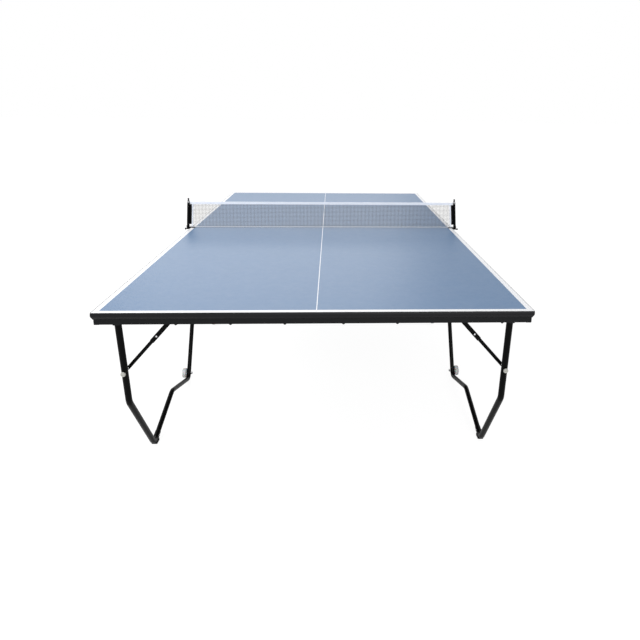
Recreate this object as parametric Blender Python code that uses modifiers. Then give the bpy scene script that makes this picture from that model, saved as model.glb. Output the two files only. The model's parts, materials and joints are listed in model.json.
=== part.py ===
"""Two-piece folding table-tennis table with net.

Metres, +Z up. The origin is on the floor under the middle of the net. The near half lies
towards -Y and the far half towards +Y. Every leg frame, brace, bracket and wheel is drawn
once for the right-hand corner of the near half and mirrored to the other three corners.
"""
import math

import bmesh
import bpy
from mathutils import Matrix, Vector

# ---------------------------------------------------------------- driving dimensions
PLAYING_LENGTH = 2.740
PLAYING_WIDTH = 1.525
TABLE_HEIGHT = 0.760
HALVES_GAP = 0.002
SEAT_GAP = 0.0003
RUNNING_GAP = 0.0003

BOARD_THICKNESS = 0.016
BAND_WIDTH = 0.0035
SPLIT_BAND_WIDTH = 0.001
CORNER_RADIUS = 0.006
BAND_ROUNDING = 0.0025

RAIL_INSET = 0.0085
RAIL_WIDTH = 0.020
RAIL_HEIGHT = 0.029
RAIL_EDGE_RADIUS = 0.002

HINGE_FROM_RAIL = 0.0333
HINGE_BELOW_BOARD = 0.044
HINGE_PIN_RADIUS = 0.004
FOOT_SPREAD = 0.020

OUTER_TUBE_RADIUS = 0.0122
INNER_TUBE_RADIUS = 0.0108
TUBE_OVERRUN = 0.008
OUTER_TOP_FROM_END = 0.077
KINK_FROM_END = 0.139
KINK_HEIGHT = 0.350
FOOT_FROM_END = 0.392
APEX_FROM_END = 0.683
APEX_HEIGHT = 0.098
WHEEL_FROM_END = 0.987
INNER_TOP_FROM_NET = 0.113
KINK_RADIUS = 0.070
FOOT_RADIUS = 0.045
APEX_RADIUS = 0.060
WHEEL_BEND_RADIUS = 0.030
SPIGOT_REACH = 0.062
SPIGOT_DEPTH = 0.036

PAD_THICKNESS = 0.002
PAD_LENGTH = 0.036
PAD_WIDTH = 0.026
PAD_HEIGHT = 0.009
PAD_CORNER_RADIUS = 0.004

WHEEL_RADIUS = 0.026
WHEEL_WIDTH = 0.019
WHEEL_GAP = 0.0018
WHEEL_HUB_RADIUS = 0.010
WHEEL_RIM_RADIUS = 0.0205
WHEEL_DISH = 0.003
WHEEL_DISH_SLOPE = 0.001
WHEEL_EDGE_ROUNDING = 0.003
HUB_PROUD = 0.001
WHEEL_FLOOR_GAP = 0.005
AXLE_RADIUS = 0.004
AXLE_HEAD_RADIUS = 0.007
AXLE_NUT_RADIUS = 0.0075
AXLE_NUT_THICKNESS = 0.0065
AXLE_HEAD_THICKNESS = 0.0035
AXLE_TIP = 0.002
SHANK_LAP = 0.001

KNOB_HEIGHT = 0.485
KNOB_RADIUS = 0.0095
KNOB_THICKNESS = 0.009
KNOB_EDGE = 0.0025
KNOB_SKIRT = 0.002
KNOB_SKIRT_STEP = 0.001
TURNED_CORE = 0.0005
KNOB_NUT_RADIUS = 0.0055
KNOB_NUT_THICKNESS = 0.003
BOLT_RADIUS = 0.003
BOLT_TIP_GAP = 0.0005

BRACE_PIVOT_INBOARD = 0.1815
BRACE_PIVOT_BELOW_HINGE = 0.005
BRACE_LOWER_LENGTH = 0.154
BRACE_LOWER_WIDTH = 0.0134
BRACE_LOWER_THICKNESS = 0.004
BRACE_UPPER_WIDTH = 0.017
BRACE_WALL = 0.0015
BRACE_SIDE_PLAY = 0.0015
BRACE_END_LAP = 0.010
BRACE_BEHIND_TUBE = 0.0215
PIN_HEAD_RADIUS = 0.005
PIN_HEAD_PROUD = 0.001

BRACKET_PLATE = 0.003
BRACKET_EAR = 0.003
BRACKET_EAR_HALF_WIDTH = 0.0125
BRACKET_EAR_BELOW_PIN = 0.008
BRACKET_EDGE = 0.004
INNER_BRACKET_INBOARD = 0.035
EAR_PLAY = 0.0012
BRACE_EAR = 0.002
BRACE_EAR_PLAY = 0.0006

NET_HEIGHT = 0.1525
NET_TAPE_HEIGHT = 0.015
NET_TAPE_THICKNESS = 0.004
NET_TAPE_EDGE_RADIUS = 0.0015
NET_THICKNESS = 0.002
POST_FROM_EDGE = 0.0035
POST_RADIUS = 0.0075
POST_BAR_RADIUS = 0.0065
POST_BAR_LAP = 0.001
POST_LAP = 0.002
POST_LEAN = 0.011
POST_COLLAR_RADIUS = 0.009
POST_COLLAR_HEIGHT = 0.020
POST_COLLAR_DROP = 0.012
POST_SCREW_RADIUS = 0.003
POST_SCREW_HEAD_RADIUS = 0.0055
POST_SCREW_HEAD = 0.004
POST_SCREW_REACH = 0.005
POST_SCREW_DROP = 0.007
POST_BAR_LIFT = 0.021
POST_TOP_OVER_NET = 0.001
POST_PIN_RADIUS = 0.0025
POST_PIN_LENGTH = 0.019
CLAMP_WIDTH = 0.030
CLAMP_JAW = 0.004
CLAMP_WEB = 0.005
CLAMP_REACH = 0.025
CLAMP_LOWER_JAW = 0.008
CLAMP_LOWER_REACH = 0.012
CLAMP_UPPER_SHARE = 0.5
CLAMP_LOWER_SHARE = 0.8
CLAMP_EDGE_RADIUS = 0.002
CLAMP_THROAT_BELOW_RAIL = 0.016
SCREW_RADIUS = 0.004
SCREW_PAD_RADIUS = 0.008
SCREW_PAD_THICKNESS = 0.004
SCREW_TAIL = 0.014
SCREW_KNOB_RADIUS = 0.011
SCREW_KNOB_HEIGHT = 0.010

LATCH_FROM_CENTRE = 0.450
LATCH_RADIUS = 0.005
LATCH_ENGAGEMENT = 0.016
LATCH_TAIL = 0.024
LATCH_PEG_RADIUS = 0.003
LATCH_PEG_DROP = 0.026

ROUND_SIDES = 16
PIN_SIDES = 12
WHEEL_SIDES = 24
NUT_SIDES = 6
EDGE_STEPS = 2
TUBE_RESOLUTION = 4
TUBE_SIDES = 2 * (TUBE_RESOLUTION + 2)
BEND_STEPS = 6
SHARP_ANGLE_DEG = 35
OVERCUT = 0.002

# ---------------------------------------------------------------- derived places
HALF_WIDTH = PLAYING_WIDTH / 2 + SEAT_GAP + BAND_WIDTH
HALF_LENGTH = PLAYING_LENGTH / 2 + SEAT_GAP + BAND_WIDTH
END_Y = -HALF_LENGTH
SPLIT_Y = -HALVES_GAP / 2
BOARD_TOP = TABLE_HEIGHT
BOARD_BOTTOM = TABLE_HEIGHT - BOARD_THICKNESS
RAIL_TOP = BOARD_BOTTOM - SEAT_GAP
RAIL_BOTTOM = RAIL_TOP - RAIL_HEIGHT
RAIL_OUTER_X = HALF_WIDTH - RAIL_INSET
RAIL_INNER_X = RAIL_OUTER_X - RAIL_WIDTH
RAIL_END_Y = END_Y + RAIL_INSET
RAIL_MIDDLE_Z = (RAIL_TOP + RAIL_BOTTOM) / 2

HINGE_X = RAIL_INNER_X - HINGE_FROM_RAIL
HINGE_Z = BOARD_BOTTOM - HINGE_BELOW_BOARD
OUTER_TOP_Y = END_Y + OUTER_TOP_FROM_END
KINK_Y = END_Y + KINK_FROM_END
INNER_TOP_Y = -INNER_TOP_FROM_NET
FOOT_CENTRE_Z = PAD_THICKNESS + SEAT_GAP + OUTER_TUBE_RADIUS
WHEEL_BEND_Z = INNER_TUBE_RADIUS + SEAT_GAP
AXLE_HEIGHT = WHEEL_RADIUS + WHEEL_FLOOR_GAP
SPLAY_SLOPE = FOOT_SPREAD / (HINGE_Z - FOOT_CENTRE_Z)

POST_X = HALF_WIDTH + POST_FROM_EDGE
POST_BASE_X = POST_X + POST_LEAN
BAR_X = POST_X - POST_RADIUS - POST_BAR_RADIUS + POST_BAR_LAP
NET_TOP = BOARD_TOP + NET_HEIGHT
TAPE_BOTTOM = NET_TOP - NET_TAPE_HEIGHT
CLAMP_BOTTOM = RAIL_BOTTOM - CLAMP_THROAT_BELOW_RAIL - CLAMP_LOWER_JAW
SCREW_X = (RAIL_INNER_X + RAIL_OUTER_X) / 2

COLLECTION_NAME = "table_tennis_table"
# finishes: name, colour, roughness, metallic
BLACK_STEEL = ("black_steel", (0.012, 0.012, 0.013), 0.38, 0.6)
BLUE_BOARD = ("blue_board", (0.28, 0.40, 0.60), 0.35, 0.0)
BLACK_BAND = ("black_band", (0.010, 0.010, 0.012), 0.42, 0.0)
BRIGHT_STEEL = ("bright_steel", (0.60, 0.60, 0.62), 0.28, 1.0)
WHEEL_PLASTIC = ("wheel_plastic", (0.70, 0.70, 0.70), 0.40, 0.0)
KNOB_PLASTIC = ("knob_plastic", (0.74, 0.75, 0.76), 0.35, 0.0)
BLACK_RUBBER = ("black_rubber", (0.015, 0.015, 0.015), 0.80, 0.0)
NET_MESH = ("net_mesh", (0.62, 0.61, 0.58), 0.90, 0.0)
WHITE_TAPE = ("white_tape", (0.86, 0.86, 0.87), 0.85, 0.0)


# ---------------------------------------------------------------- scene and helpers
def clear_scene():
    for existing in list(bpy.data.objects):
        bpy.data.objects.remove(existing, do_unlink=True)


def new_collection(name):
    collection = bpy.data.collections.new(name)
    bpy.context.scene.collection.children.link(collection)
    return collection


def material(finish):
    name, colour, roughness, metallic = finish
    found = bpy.data.materials.get(name)
    if found:
        return found
    made = bpy.data.materials.new(name)
    made.use_nodes = True
    shader = made.node_tree.nodes["Principled BSDF"]
    shader.inputs["Base Color"].default_value = (*colour, 1.0)
    shader.inputs["Roughness"].default_value = roughness
    shader.inputs["Metallic"].default_value = metallic
    return made


def mesh_from(bm):
    bmesh.ops.recalc_face_normals(bm, faces=bm.faces[:])
    mesh = bpy.data.meshes.new("shape")
    bm.to_mesh(mesh)
    bm.free()
    return mesh


def box(low, high):
    """A box between two corners."""
    low = Vector(low)
    high = Vector(high)
    bm = bmesh.new()
    bmesh.ops.create_cube(bm, size=1.0)
    bmesh.ops.scale(bm, vec=high - low, verts=bm.verts)
    bmesh.ops.translate(bm, vec=(low + high) / 2, verts=bm.verts)
    return mesh_from(bm)


def rounded_box(low, high, radius, axis):
    """A box whose four edges along one axis are rounded."""
    bm = bmesh.new()
    bm.from_mesh(box(low, high))
    along = []
    for edge in bm.edges:
        run = (edge.verts[0].co - edge.verts[1].co).normalized()
        if abs(run[axis]) > 0.99:
            along.append(edge)
    bmesh.ops.bevel(bm, geom=along, offset=radius, segments=EDGE_STEPS, profile=0.5, affect="EDGES")
    return mesh_from(bm)


def rod(start, end, radius, sides=PIN_SIDES):
    """A solid cylinder between two points."""
    start = Vector(start)
    end = Vector(end)
    run = end - start
    bm = bmesh.new()
    bmesh.ops.create_cone(
        bm, cap_ends=True, segments=sides, radius1=radius, radius2=radius, depth=run.length
    )
    turn = run.to_track_quat("Z", "Y").to_matrix().to_4x4()
    place = Matrix.Translation((start + end) / 2) @ turn
    bmesh.ops.transform(bm, matrix=place, verts=bm.verts)
    return mesh_from(bm)


def turned(profile, centre, axis, sides):
    """A closed ring profile of (along, radius) points, turned about an axis."""
    mesh = bpy.data.meshes.new("profile")
    points = [(radius, 0.0, along) for along, radius in profile]
    count = len(points)
    mesh.from_pydata(points, [(i, (i + 1) % count) for i in range(count)], [])
    blank = bpy.data.objects.new("turned_blank", mesh)
    workshop.objects.link(blank)
    screw = blank.modifiers.new("turn", "SCREW")
    screw.axis = "Z"
    screw.steps = sides
    screw.render_steps = sides
    screw.use_merge_vertices = True
    screw.merge_threshold = 0.00001
    shape = baked(blank)
    bm = bmesh.new()
    bm.from_mesh(shape)
    turn = Vector(axis).to_track_quat("Z", "Y").to_matrix().to_4x4()
    bmesh.ops.transform(bm, matrix=Matrix.Translation(centre) @ turn, verts=bm.verts)
    return mesh_from(bm)


def tube(points, radius):
    """A round bar along a list of points, as a curve with filled ends."""
    curve = bpy.data.curves.new("tube_curve", "CURVE")
    curve.dimensions = "3D"
    curve.bevel_depth = radius
    curve.bevel_resolution = TUBE_RESOLUTION
    curve.use_fill_caps = True
    spline = curve.splines.new("POLY")
    spline.points.add(len(points) - 1)
    for slot, point in zip(spline.points, points):
        slot.co = (*point, 1.0)
    blank = bpy.data.objects.new("tube_blank", curve)
    workshop.objects.link(blank)
    shape = baked(blank)
    bm = bmesh.new()
    bm.from_mesh(shape)
    bmesh.ops.remove_doubles(bm, verts=bm.verts, dist=0.00001)
    return mesh_from(bm)


def baked(blank):
    """The evaluated mesh of a workshop object, which is then removed."""
    bpy.context.view_layer.update()
    evaluated = blank.evaluated_get(bpy.context.evaluated_depsgraph_get())
    shape = bpy.data.meshes.new_from_object(evaluated)
    shape.transform(blank.matrix_world)
    bpy.data.objects.remove(blank, do_unlink=True)
    return shape


def combined(base, others, operation):
    """A mesh after Boolean steps with each of the other meshes in turn."""
    blank = bpy.data.objects.new("boolean_blank", base)
    workshop.objects.link(blank)
    tools = []
    for other in others:
        tool = bpy.data.objects.new("boolean_tool", other)
        workshop.objects.link(tool)
        tool.hide_render = True
        tool.display_type = "WIRE"
        step = blank.modifiers.new(operation.lower(), "BOOLEAN")
        step.operation = operation
        step.object = tool
        tools.append(tool)
    shape = baked(blank)
    for tool in tools:
        bpy.data.objects.remove(tool, do_unlink=True)
    return shape


def cut(base, *cutters):
    return combined(base, cutters, "DIFFERENCE")


def joined(base, *additions):
    return combined(base, additions, "UNION")


def mirrored(shape, side, end):
    """A copy for one corner: side is +1 right or -1 left, end is -1 near or +1 far."""
    bm = bmesh.new()
    bm.from_mesh(shape)
    flip = Matrix.Diagonal((side, -end, 1.0, 1.0))
    bmesh.ops.transform(bm, matrix=flip, verts=bm.verts)
    return mesh_from(bm)


def add_part(name, shape, finish, origin=(0.0, 0.0, 0.0), parent=None):
    """A named part whose object origin sits at the given world point."""
    origin = Vector(origin)
    shape.transform(Matrix.Translation(-origin))
    shape.name = name
    shape.materials.clear()
    shape.materials.append(material(finish))
    shape.shade_smooth()
    shape.set_sharp_from_angle(angle=math.radians(SHARP_ANGLE_DEG))
    part = bpy.data.objects.new(name, shape)
    parts.objects.link(part)
    part.location = origin
    if parent:
        part.parent = parent
        part.location = origin - parent_place(parent)
    return part


def parent_place(parent):
    place = Vector(parent.location)
    while parent.parent:
        parent = parent.parent
        place += Vector(parent.location)
    return place


def add_empty(name, origin, parent=None):
    empty = bpy.data.objects.new(name, None)
    empty.empty_display_size = 0.05
    parts.objects.link(empty)
    empty.location = origin
    if parent:
        empty.location = Vector(origin) - parent_place(parent)
        empty.parent = parent
    return empty


# ---------------------------------------------------------------- bent tube paths
def bend_lowest(before, corner, after, radius):
    """The lowest height of the arc that rounds a corner."""
    back = (before - corner).normalized()
    ahead = (after - corner).normalized()
    half_angle = back.angle(ahead) / 2
    centre = corner + (back + ahead).normalized() * (radius / math.sin(half_angle))
    return centre.y - radius


def corner_at_height(before, corner_y, after, radius, height):
    """The corner whose arc comes down to a height."""
    corner = Vector((corner_y, height))
    for _ in range(6):
        corner.y += height - bend_lowest(before, corner, after, radius)
    return corner


def rounded_path(corners, radii):
    """Points along straight runs joined by arcs at the inner corners."""
    path = [corners[0]]
    for before, corner, after, radius in zip(corners, corners[1:], corners[2:], radii):
        back = (before - corner).normalized()
        ahead = (after - corner).normalized()
        half_angle = back.angle(ahead) / 2
        centre = corner + (back + ahead).normalized() * (radius / math.sin(half_angle))
        run = radius / math.tan(half_angle)
        start = corner + back * run - centre
        end = corner + ahead * run - centre
        sweep = start.angle_signed(end)
        for step in range(BEND_STEPS + 1):
            angle = -sweep * step / BEND_STEPS
            spoke = Matrix.Rotation(angle, 2) @ start
            path.append(centre + spoke)
    path.append(corners[-1])
    return path


def on_leg_plane(point):
    """A (y, z) point moved onto the splayed plane of the leg frame."""
    y, z = point
    return Vector((HINGE_X + (HINGE_Z - z) * SPLAY_SLOPE, y, z))


def leg_corners():
    """The corners of the whole leg frame as (y, z) points, end side first."""
    top = Vector((OUTER_TOP_Y, HINGE_Z))
    kink = Vector((KINK_Y, KINK_HEIGHT))
    apex = Vector((END_Y + APEX_FROM_END, APEX_HEIGHT))
    inner_top = Vector((INNER_TOP_Y, HINGE_Z))
    foot = corner_at_height(kink, END_Y + FOOT_FROM_END, apex, FOOT_RADIUS, FOOT_CENTRE_Z)
    wheel = corner_at_height(
        apex, END_Y + WHEEL_FROM_END, inner_top, WHEEL_BEND_RADIUS, WHEEL_BEND_Z
    )
    return top, kink, foot, apex, wheel, inner_top


def extended(point, away_from, distance):
    return point + (point - away_from).normalized() * distance


def knob_point():
    """Where the knob bolt crosses the outer tube, on its straight upper run."""
    share = (HINGE_Z - KNOB_HEIGHT) / (HINGE_Z - KINK_HEIGHT)
    y = OUTER_TOP_Y + (KINK_Y - OUTER_TOP_Y) * share
    return on_leg_plane((y, KNOB_HEIGHT))


# ---------------------------------------------------------------- top: boards and rails
def half_name(end):
    return "near" if end < 0 else "far"


def side_name(side):
    return "right" if side > 0 else "left"


def build_board():
    inset = BAND_WIDTH + SEAT_GAP
    split_inset = SPLIT_BAND_WIDTH + SEAT_GAP
    low = (-HALF_WIDTH + inset, END_Y + inset, BOARD_BOTTOM)
    high = (HALF_WIDTH - inset, SPLIT_Y - split_inset, BOARD_TOP)
    return rounded_box(low, high, CORNER_RADIUS - BAND_WIDTH, 2)


def build_edge_band():
    """A band round a half, thin along the split, with its long outer edges rounded."""
    outer = rounded_box(
        (-HALF_WIDTH, END_Y, BOARD_BOTTOM), (HALF_WIDTH, SPLIT_Y, BOARD_TOP), CORNER_RADIUS, 2
    )
    bm = bmesh.new()
    bm.from_mesh(outer)
    rims = []
    for edge in bm.edges:
        first, second = (vert.co for vert in edge.verts)
        at_split = min(first.y, second.y) > SPLIT_Y - OVERCUT
        if abs(first.z - second.z) < OVERCUT and not at_split:
            rims.append(edge)
    bmesh.ops.bevel(
        bm, geom=rims, offset=BAND_ROUNDING, segments=EDGE_STEPS, profile=0.5, affect="EDGES"
    )
    inner = rounded_box(
        (-HALF_WIDTH + BAND_WIDTH, END_Y + BAND_WIDTH, BOARD_BOTTOM - OVERCUT),
        (HALF_WIDTH - BAND_WIDTH, SPLIT_Y - SPLIT_BAND_WIDTH, BOARD_TOP + OVERCUT),
        CORNER_RADIUS - BAND_WIDTH,
        2,
    )
    return cut(mesh_from(bm), inner)


def build_side_rail():
    return rounded_box(
        (RAIL_INNER_X, RAIL_END_Y, RAIL_BOTTOM),
        (RAIL_OUTER_X, SPLIT_Y, RAIL_TOP),
        RAIL_EDGE_RADIUS,
        1,
    )


def build_cross_rail(y_low):
    reach = RAIL_INNER_X - SEAT_GAP
    return rounded_box(
        (-reach, y_low, RAIL_BOTTOM),
        (reach, y_low + RAIL_WIDTH, RAIL_TOP),
        RAIL_EDGE_RADIUS,
        0,
    )


def build_net_rail():
    """The cross rail at the split, bored for the two centre latches."""
    rail = build_cross_rail(SPLIT_Y - RAIL_WIDTH)
    bores = []
    for side in (-1, 1):
        x = side * LATCH_FROM_CENTRE
        low = (x, SPLIT_Y - RAIL_WIDTH - OVERCUT, RAIL_MIDDLE_Z)
        high = (x, SPLIT_Y + OVERCUT, RAIL_MIDDLE_Z)
        bores.append(rod(low, high, LATCH_RADIUS + RUNNING_GAP))
    return cut(rail, *bores)


def add_top_half(end, parent):
    half = half_name(end)
    add_part(f"board_{half}", mirrored(build_board(), 1, end), BLUE_BOARD, parent=parent)
    add_part(f"edge_band_{half}", mirrored(build_edge_band(), 1, end), BLACK_BAND, parent=parent)
    end_rail = mirrored(build_cross_rail(RAIL_END_Y), 1, end)
    add_part(f"end_rail_{half}", end_rail, BLACK_STEEL, parent=parent)
    add_part(f"net_rail_{half}", mirrored(build_net_rail(), 1, end), BLACK_STEEL, parent=parent)
    for side in (-1, 1):
        rail = mirrored(build_side_rail(), side, end)
        add_part(f"side_rail_{half}_{side_name(side)}", rail, BLACK_STEEL, parent=parent)


# ---------------------------------------------------------------- hinge brackets
def bracket_ear(x_centre, half_width, y_low, y_high, z_low):
    return rounded_box(
        (x_centre - half_width, y_low, z_low),
        (x_centre + half_width, y_high, RAIL_TOP - OVERCUT / 2),
        half_width / 3,
        1,
    )


def hinge_ears(y_centre, reach):
    """Two ears with the hinge pin between them."""
    z_low = HINGE_Z - BRACKET_EAR_BELOW_PIN
    outer = reach + BRACKET_EAR
    ears = []
    for y_low in (y_centre - outer, y_centre + reach):
        ears.append(
            bracket_ear(HINGE_X, BRACKET_EAR_HALF_WIDTH, y_low, y_low + BRACKET_EAR, z_low)
        )
    tip = outer + PIN_HEAD_PROUD
    pin = rod(
        (HINGE_X, y_centre - tip, HINGE_Z), (HINGE_X, y_centre + tip, HINGE_Z), HINGE_PIN_RADIUS
    )
    return ears + [pin]


def ear_reach(top, below, radius):
    """Half the gap between hinge ears that a leaning tube end needs."""
    lean = abs((top.x - below.x) / (top.y - below.y))
    across = radius * math.sqrt(1 + lean * lean)
    return across + lean * BRACKET_EAR_HALF_WIDTH + EAR_PLAY


def bracket_plate(x_low, y_low, y_high):
    x_high = RAIL_INNER_X - SEAT_GAP
    return box((x_low, y_low, RAIL_TOP - BRACKET_PLATE), (x_high, y_high, RAIL_TOP))


def brace_ears(pivot, brace_y, channel_half_depth):
    inner = channel_half_depth + BRACE_EAR_PLAY
    half_width = BRACE_UPPER_WIDTH / 2
    z_low = pivot.y - half_width
    ears = []
    for y_low in (brace_y - inner - BRACE_EAR, brace_y + inner):
        ears.append(bracket_ear(pivot.x, half_width, y_low, y_low + BRACE_EAR, z_low))
    tip = inner + BRACE_EAR + PIN_HEAD_PROUD / 2
    pin = rod((pivot.x, brace_y - tip, pivot.y), (pivot.x, brace_y + tip, pivot.y), BOLT_RADIUS)
    return ears + [pin]


def build_outer_bracket(brace):
    """The plate that carries the outer tube's hinge and the brace's upper pivot."""
    top, kink = leg_corners()[:2]
    reach = ear_reach(top, kink, OUTER_TUBE_RADIUS)
    plate = bracket_plate(
        brace["pivot"].x - BRACE_UPPER_WIDTH,
        top.x - reach - BRACKET_EAR - BRACKET_EDGE,
        brace["y"] + brace["half_depth"] + BRACE_EAR + BRACKET_EDGE,
    )
    pieces = hinge_ears(top.x, reach)
    pieces += brace_ears(brace["pivot"], brace["y"], brace["half_depth"])
    return joined(plate, *pieces)


def build_inner_bracket():
    corners = leg_corners()
    top = corners[5]
    reach = ear_reach(top, corners[4], INNER_TUBE_RADIUS)
    edge = reach + BRACKET_EAR + BRACKET_EDGE
    plate = bracket_plate(HINGE_X - INNER_BRACKET_INBOARD, top.x - edge, top.x + edge)
    return joined(plate, *hinge_ears(top.x, reach))


# ---------------------------------------------------------------- leg frame
def build_outer_tube():
    """Hinge end, kink, foot elbow and the socket end that takes the inner tube."""
    top, kink, foot, apex = leg_corners()[:4]
    start = extended(top, kink, TUBE_OVERRUN)
    end = foot + (apex - foot).normalized() * SPIGOT_REACH
    path = rounded_path([start, kink, foot, end], [KINK_RADIUS, FOOT_RADIUS])
    body = tube([on_leg_plane(point) for point in path], OUTER_TUBE_RADIUS)
    socket_start = end - (apex - foot).normalized() * (SPIGOT_DEPTH + SEAT_GAP)
    socket_end = extended(end, foot, OVERCUT)
    socket = rod(
        on_leg_plane(socket_start),
        on_leg_plane(socket_end),
        (INNER_TUBE_RADIUS + RUNNING_GAP) / math.cos(math.pi / ROUND_SIDES),
        ROUND_SIDES,
    )
    reach = 2 * OUTER_TUBE_RADIUS
    knob = knob_point()
    knob_bore = rod(
        knob - Vector((0, reach, 0)), knob + Vector((0, reach, 0)), BOLT_RADIUS + RUNNING_GAP
    )
    return cut(body, socket, hinge_bore(top.x, reach), knob_bore)


def hinge_bore(y_centre, reach):
    return rod(
        (HINGE_X, y_centre - reach, HINGE_Z),
        (HINGE_X, y_centre + reach, HINGE_Z),
        HINGE_PIN_RADIUS + RUNNING_GAP,
    )


def axle_point():
    """Where the axle crosses the inner tube, just above its lowest bend."""
    wheel, inner_top = leg_corners()[4:]
    share = (AXLE_HEIGHT - wheel.y) / (inner_top.y - wheel.y)
    return on_leg_plane(wheel.lerp(inner_top, share))


def build_inner_tube():
    """Spigot, apex, wheel bend and the run up to the hinge beside the net."""
    _, _, foot, apex, wheel, inner_top = leg_corners()
    start = foot + (apex - foot).normalized() * (SPIGOT_REACH - SPIGOT_DEPTH)
    end = extended(inner_top, wheel, TUBE_OVERRUN)
    path = rounded_path([start, apex, wheel, end], [APEX_RADIUS, WHEEL_BEND_RADIUS])
    body = tube([on_leg_plane(point) for point in path], INNER_TUBE_RADIUS)
    axle = axle_point()
    reach = 2 * INNER_TUBE_RADIUS
    axle_bore = rod(
        axle - Vector((reach, 0, 0)), axle + Vector((reach, 0, 0)), AXLE_RADIUS + RUNNING_GAP
    )
    return cut(body, axle_bore, hinge_bore(inner_top.x, 2 * reach))


def build_foot_pad():
    """A flat rubber pad that cups the foot elbow from below."""
    _, kink, foot, apex = leg_corners()[:4]
    back = (kink - foot).normalized()
    ahead = (apex - foot).normalized()
    centre = foot + (back + ahead).normalized() * (FOOT_RADIUS / math.sin(back.angle(ahead) / 2))
    middle = on_leg_plane((centre.x, FOOT_CENTRE_Z))
    body = rounded_box(
        (middle.x - PAD_WIDTH / 2, middle.y - PAD_LENGTH / 2, 0.0),
        (middle.x + PAD_WIDTH / 2, middle.y + PAD_LENGTH / 2, PAD_HEIGHT),
        PAD_CORNER_RADIUS,
        2,
    )
    path = rounded_path([kink, foot, apex], [FOOT_RADIUS])
    groove_radius = (OUTER_TUBE_RADIUS + SEAT_GAP) / math.cos(math.pi / TUBE_SIDES)
    groove = tube([on_leg_plane(point) for point in path], groove_radius)
    return cut(body, groove)


def build_wheel():
    """A moulded wheel with a raised hub, dished faces and a rounded tread."""
    half = WHEEL_WIDTH / 2
    bore = AXLE_RADIUS + RUNNING_GAP
    soft = WHEEL_EDGE_ROUNDING
    profile = [
        (-half - HUB_PROUD, bore),
        (-half - HUB_PROUD, WHEEL_HUB_RADIUS),
        (-half + WHEEL_DISH, WHEEL_HUB_RADIUS + WHEEL_DISH_SLOPE),
        (-half + WHEEL_DISH, WHEEL_RIM_RADIUS - WHEEL_DISH_SLOPE),
        (-half, WHEEL_RIM_RADIUS),
        (-half, WHEEL_RADIUS - soft),
        (-half + 0.3 * soft, WHEEL_RADIUS - 0.3 * soft),
        (-half + soft, WHEEL_RADIUS),
    ]
    profile += [(-along, radius) for along, radius in reversed(profile)]
    return turned(profile, wheel_centre(), (1, 0, 0), WHEEL_SIDES)


def wheel_centre():
    axle = axle_point()
    return axle + Vector((INNER_TUBE_RADIUS + WHEEL_GAP + WHEEL_WIDTH / 2, 0, 0))


def build_wheel_axle():
    """A bolt through tube and wheel, with its head outside and its nut inside."""
    axle = axle_point()
    wheel = wheel_centre()
    head_start = wheel.x + WHEEL_WIDTH / 2 + HUB_PROUD + RUNNING_GAP
    nut_end = axle.x - INNER_TUBE_RADIUS - 2 * SEAT_GAP
    shank = rod(
        (nut_end - AXLE_NUT_THICKNESS - AXLE_TIP, axle.y, axle.z),
        (head_start + SHANK_LAP, axle.y, axle.z),
        AXLE_RADIUS,
    )
    head = rod(
        (head_start, axle.y, axle.z),
        (head_start + AXLE_HEAD_THICKNESS, axle.y, axle.z),
        AXLE_HEAD_RADIUS,
    )
    nut = rod(
        (nut_end - AXLE_NUT_THICKNESS, axle.y, axle.z),
        (nut_end, axle.y, axle.z),
        AXLE_NUT_RADIUS,
        NUT_SIDES,
    )
    return joined(shank, head, nut)


# ---------------------------------------------------------------- knee brace
def brace_layout():
    """Where the brace's pivots lie; x and z are kept as a flat (x, z) point."""
    knob = knob_point()
    low_end = Vector((knob.x, knob.z))
    pivot = Vector((HINGE_X - BRACE_PIVOT_INBOARD, HINGE_Z - BRACE_PIVOT_BELOW_HINGE))
    run = low_end - pivot
    upper_length = run.length - BRACE_LOWER_LENGTH
    half_depth = BRACE_LOWER_THICKNESS / 2 + BRACE_SIDE_PLAY + BRACE_WALL
    return {
        "pivot": pivot,
        "low_end": low_end,
        "knee": pivot + run.normalized() * upper_length,
        "upper_length": upper_length,
        "half_depth": half_depth,
        "y": knob.y + OUTER_TUBE_RADIUS + BRACE_BEHIND_TUBE,
        "angle": math.atan2(run.y, run.x),
    }


def laid_along_brace(shape, origin, brace):
    """Turn a shape drawn along +X, with +Z to its corner side, onto the brace's line."""
    turn = Matrix.Rotation(-brace["angle"], 4, "Y")
    place = Matrix.Translation((origin.x, brace["y"], origin.y)) @ turn
    shape.transform(place)
    return shape


def build_brace_upper(brace):
    """A channel, open on its lower side, with the knee pin riveted across it."""
    length = brace["upper_length"]
    half_width = BRACE_UPPER_WIDTH / 2
    half_depth = brace["half_depth"]
    inside = half_depth - BRACE_WALL
    body = box(
        (-BRACE_END_LAP, -half_depth, -half_width), (length + BRACE_END_LAP, half_depth, half_width)
    )
    hollow = box(
        (-2 * BRACE_END_LAP, -inside, -2 * half_width),
        (length + 2 * BRACE_END_LAP, inside, half_width - BRACE_WALL),
    )
    bore_reach = 2 * half_depth
    pivot_bore = rod((0, -bore_reach, 0), (0, bore_reach, 0), BOLT_RADIUS + RUNNING_GAP)
    channel = cut(body, hollow, pivot_bore)
    face = half_depth - BRACE_WALL / 2
    tip = half_depth + PIN_HEAD_PROUD
    pin = rod((length, -face, 0), (length, face, 0), BOLT_RADIUS)
    heads = [
        rod((length, -tip, 0), (length, -face, 0), PIN_HEAD_RADIUS),
        rod((length, face, 0), (length, tip, 0), PIN_HEAD_RADIUS),
    ]
    return laid_along_brace(joined(channel, pin, *heads), brace["pivot"], brace)


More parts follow.
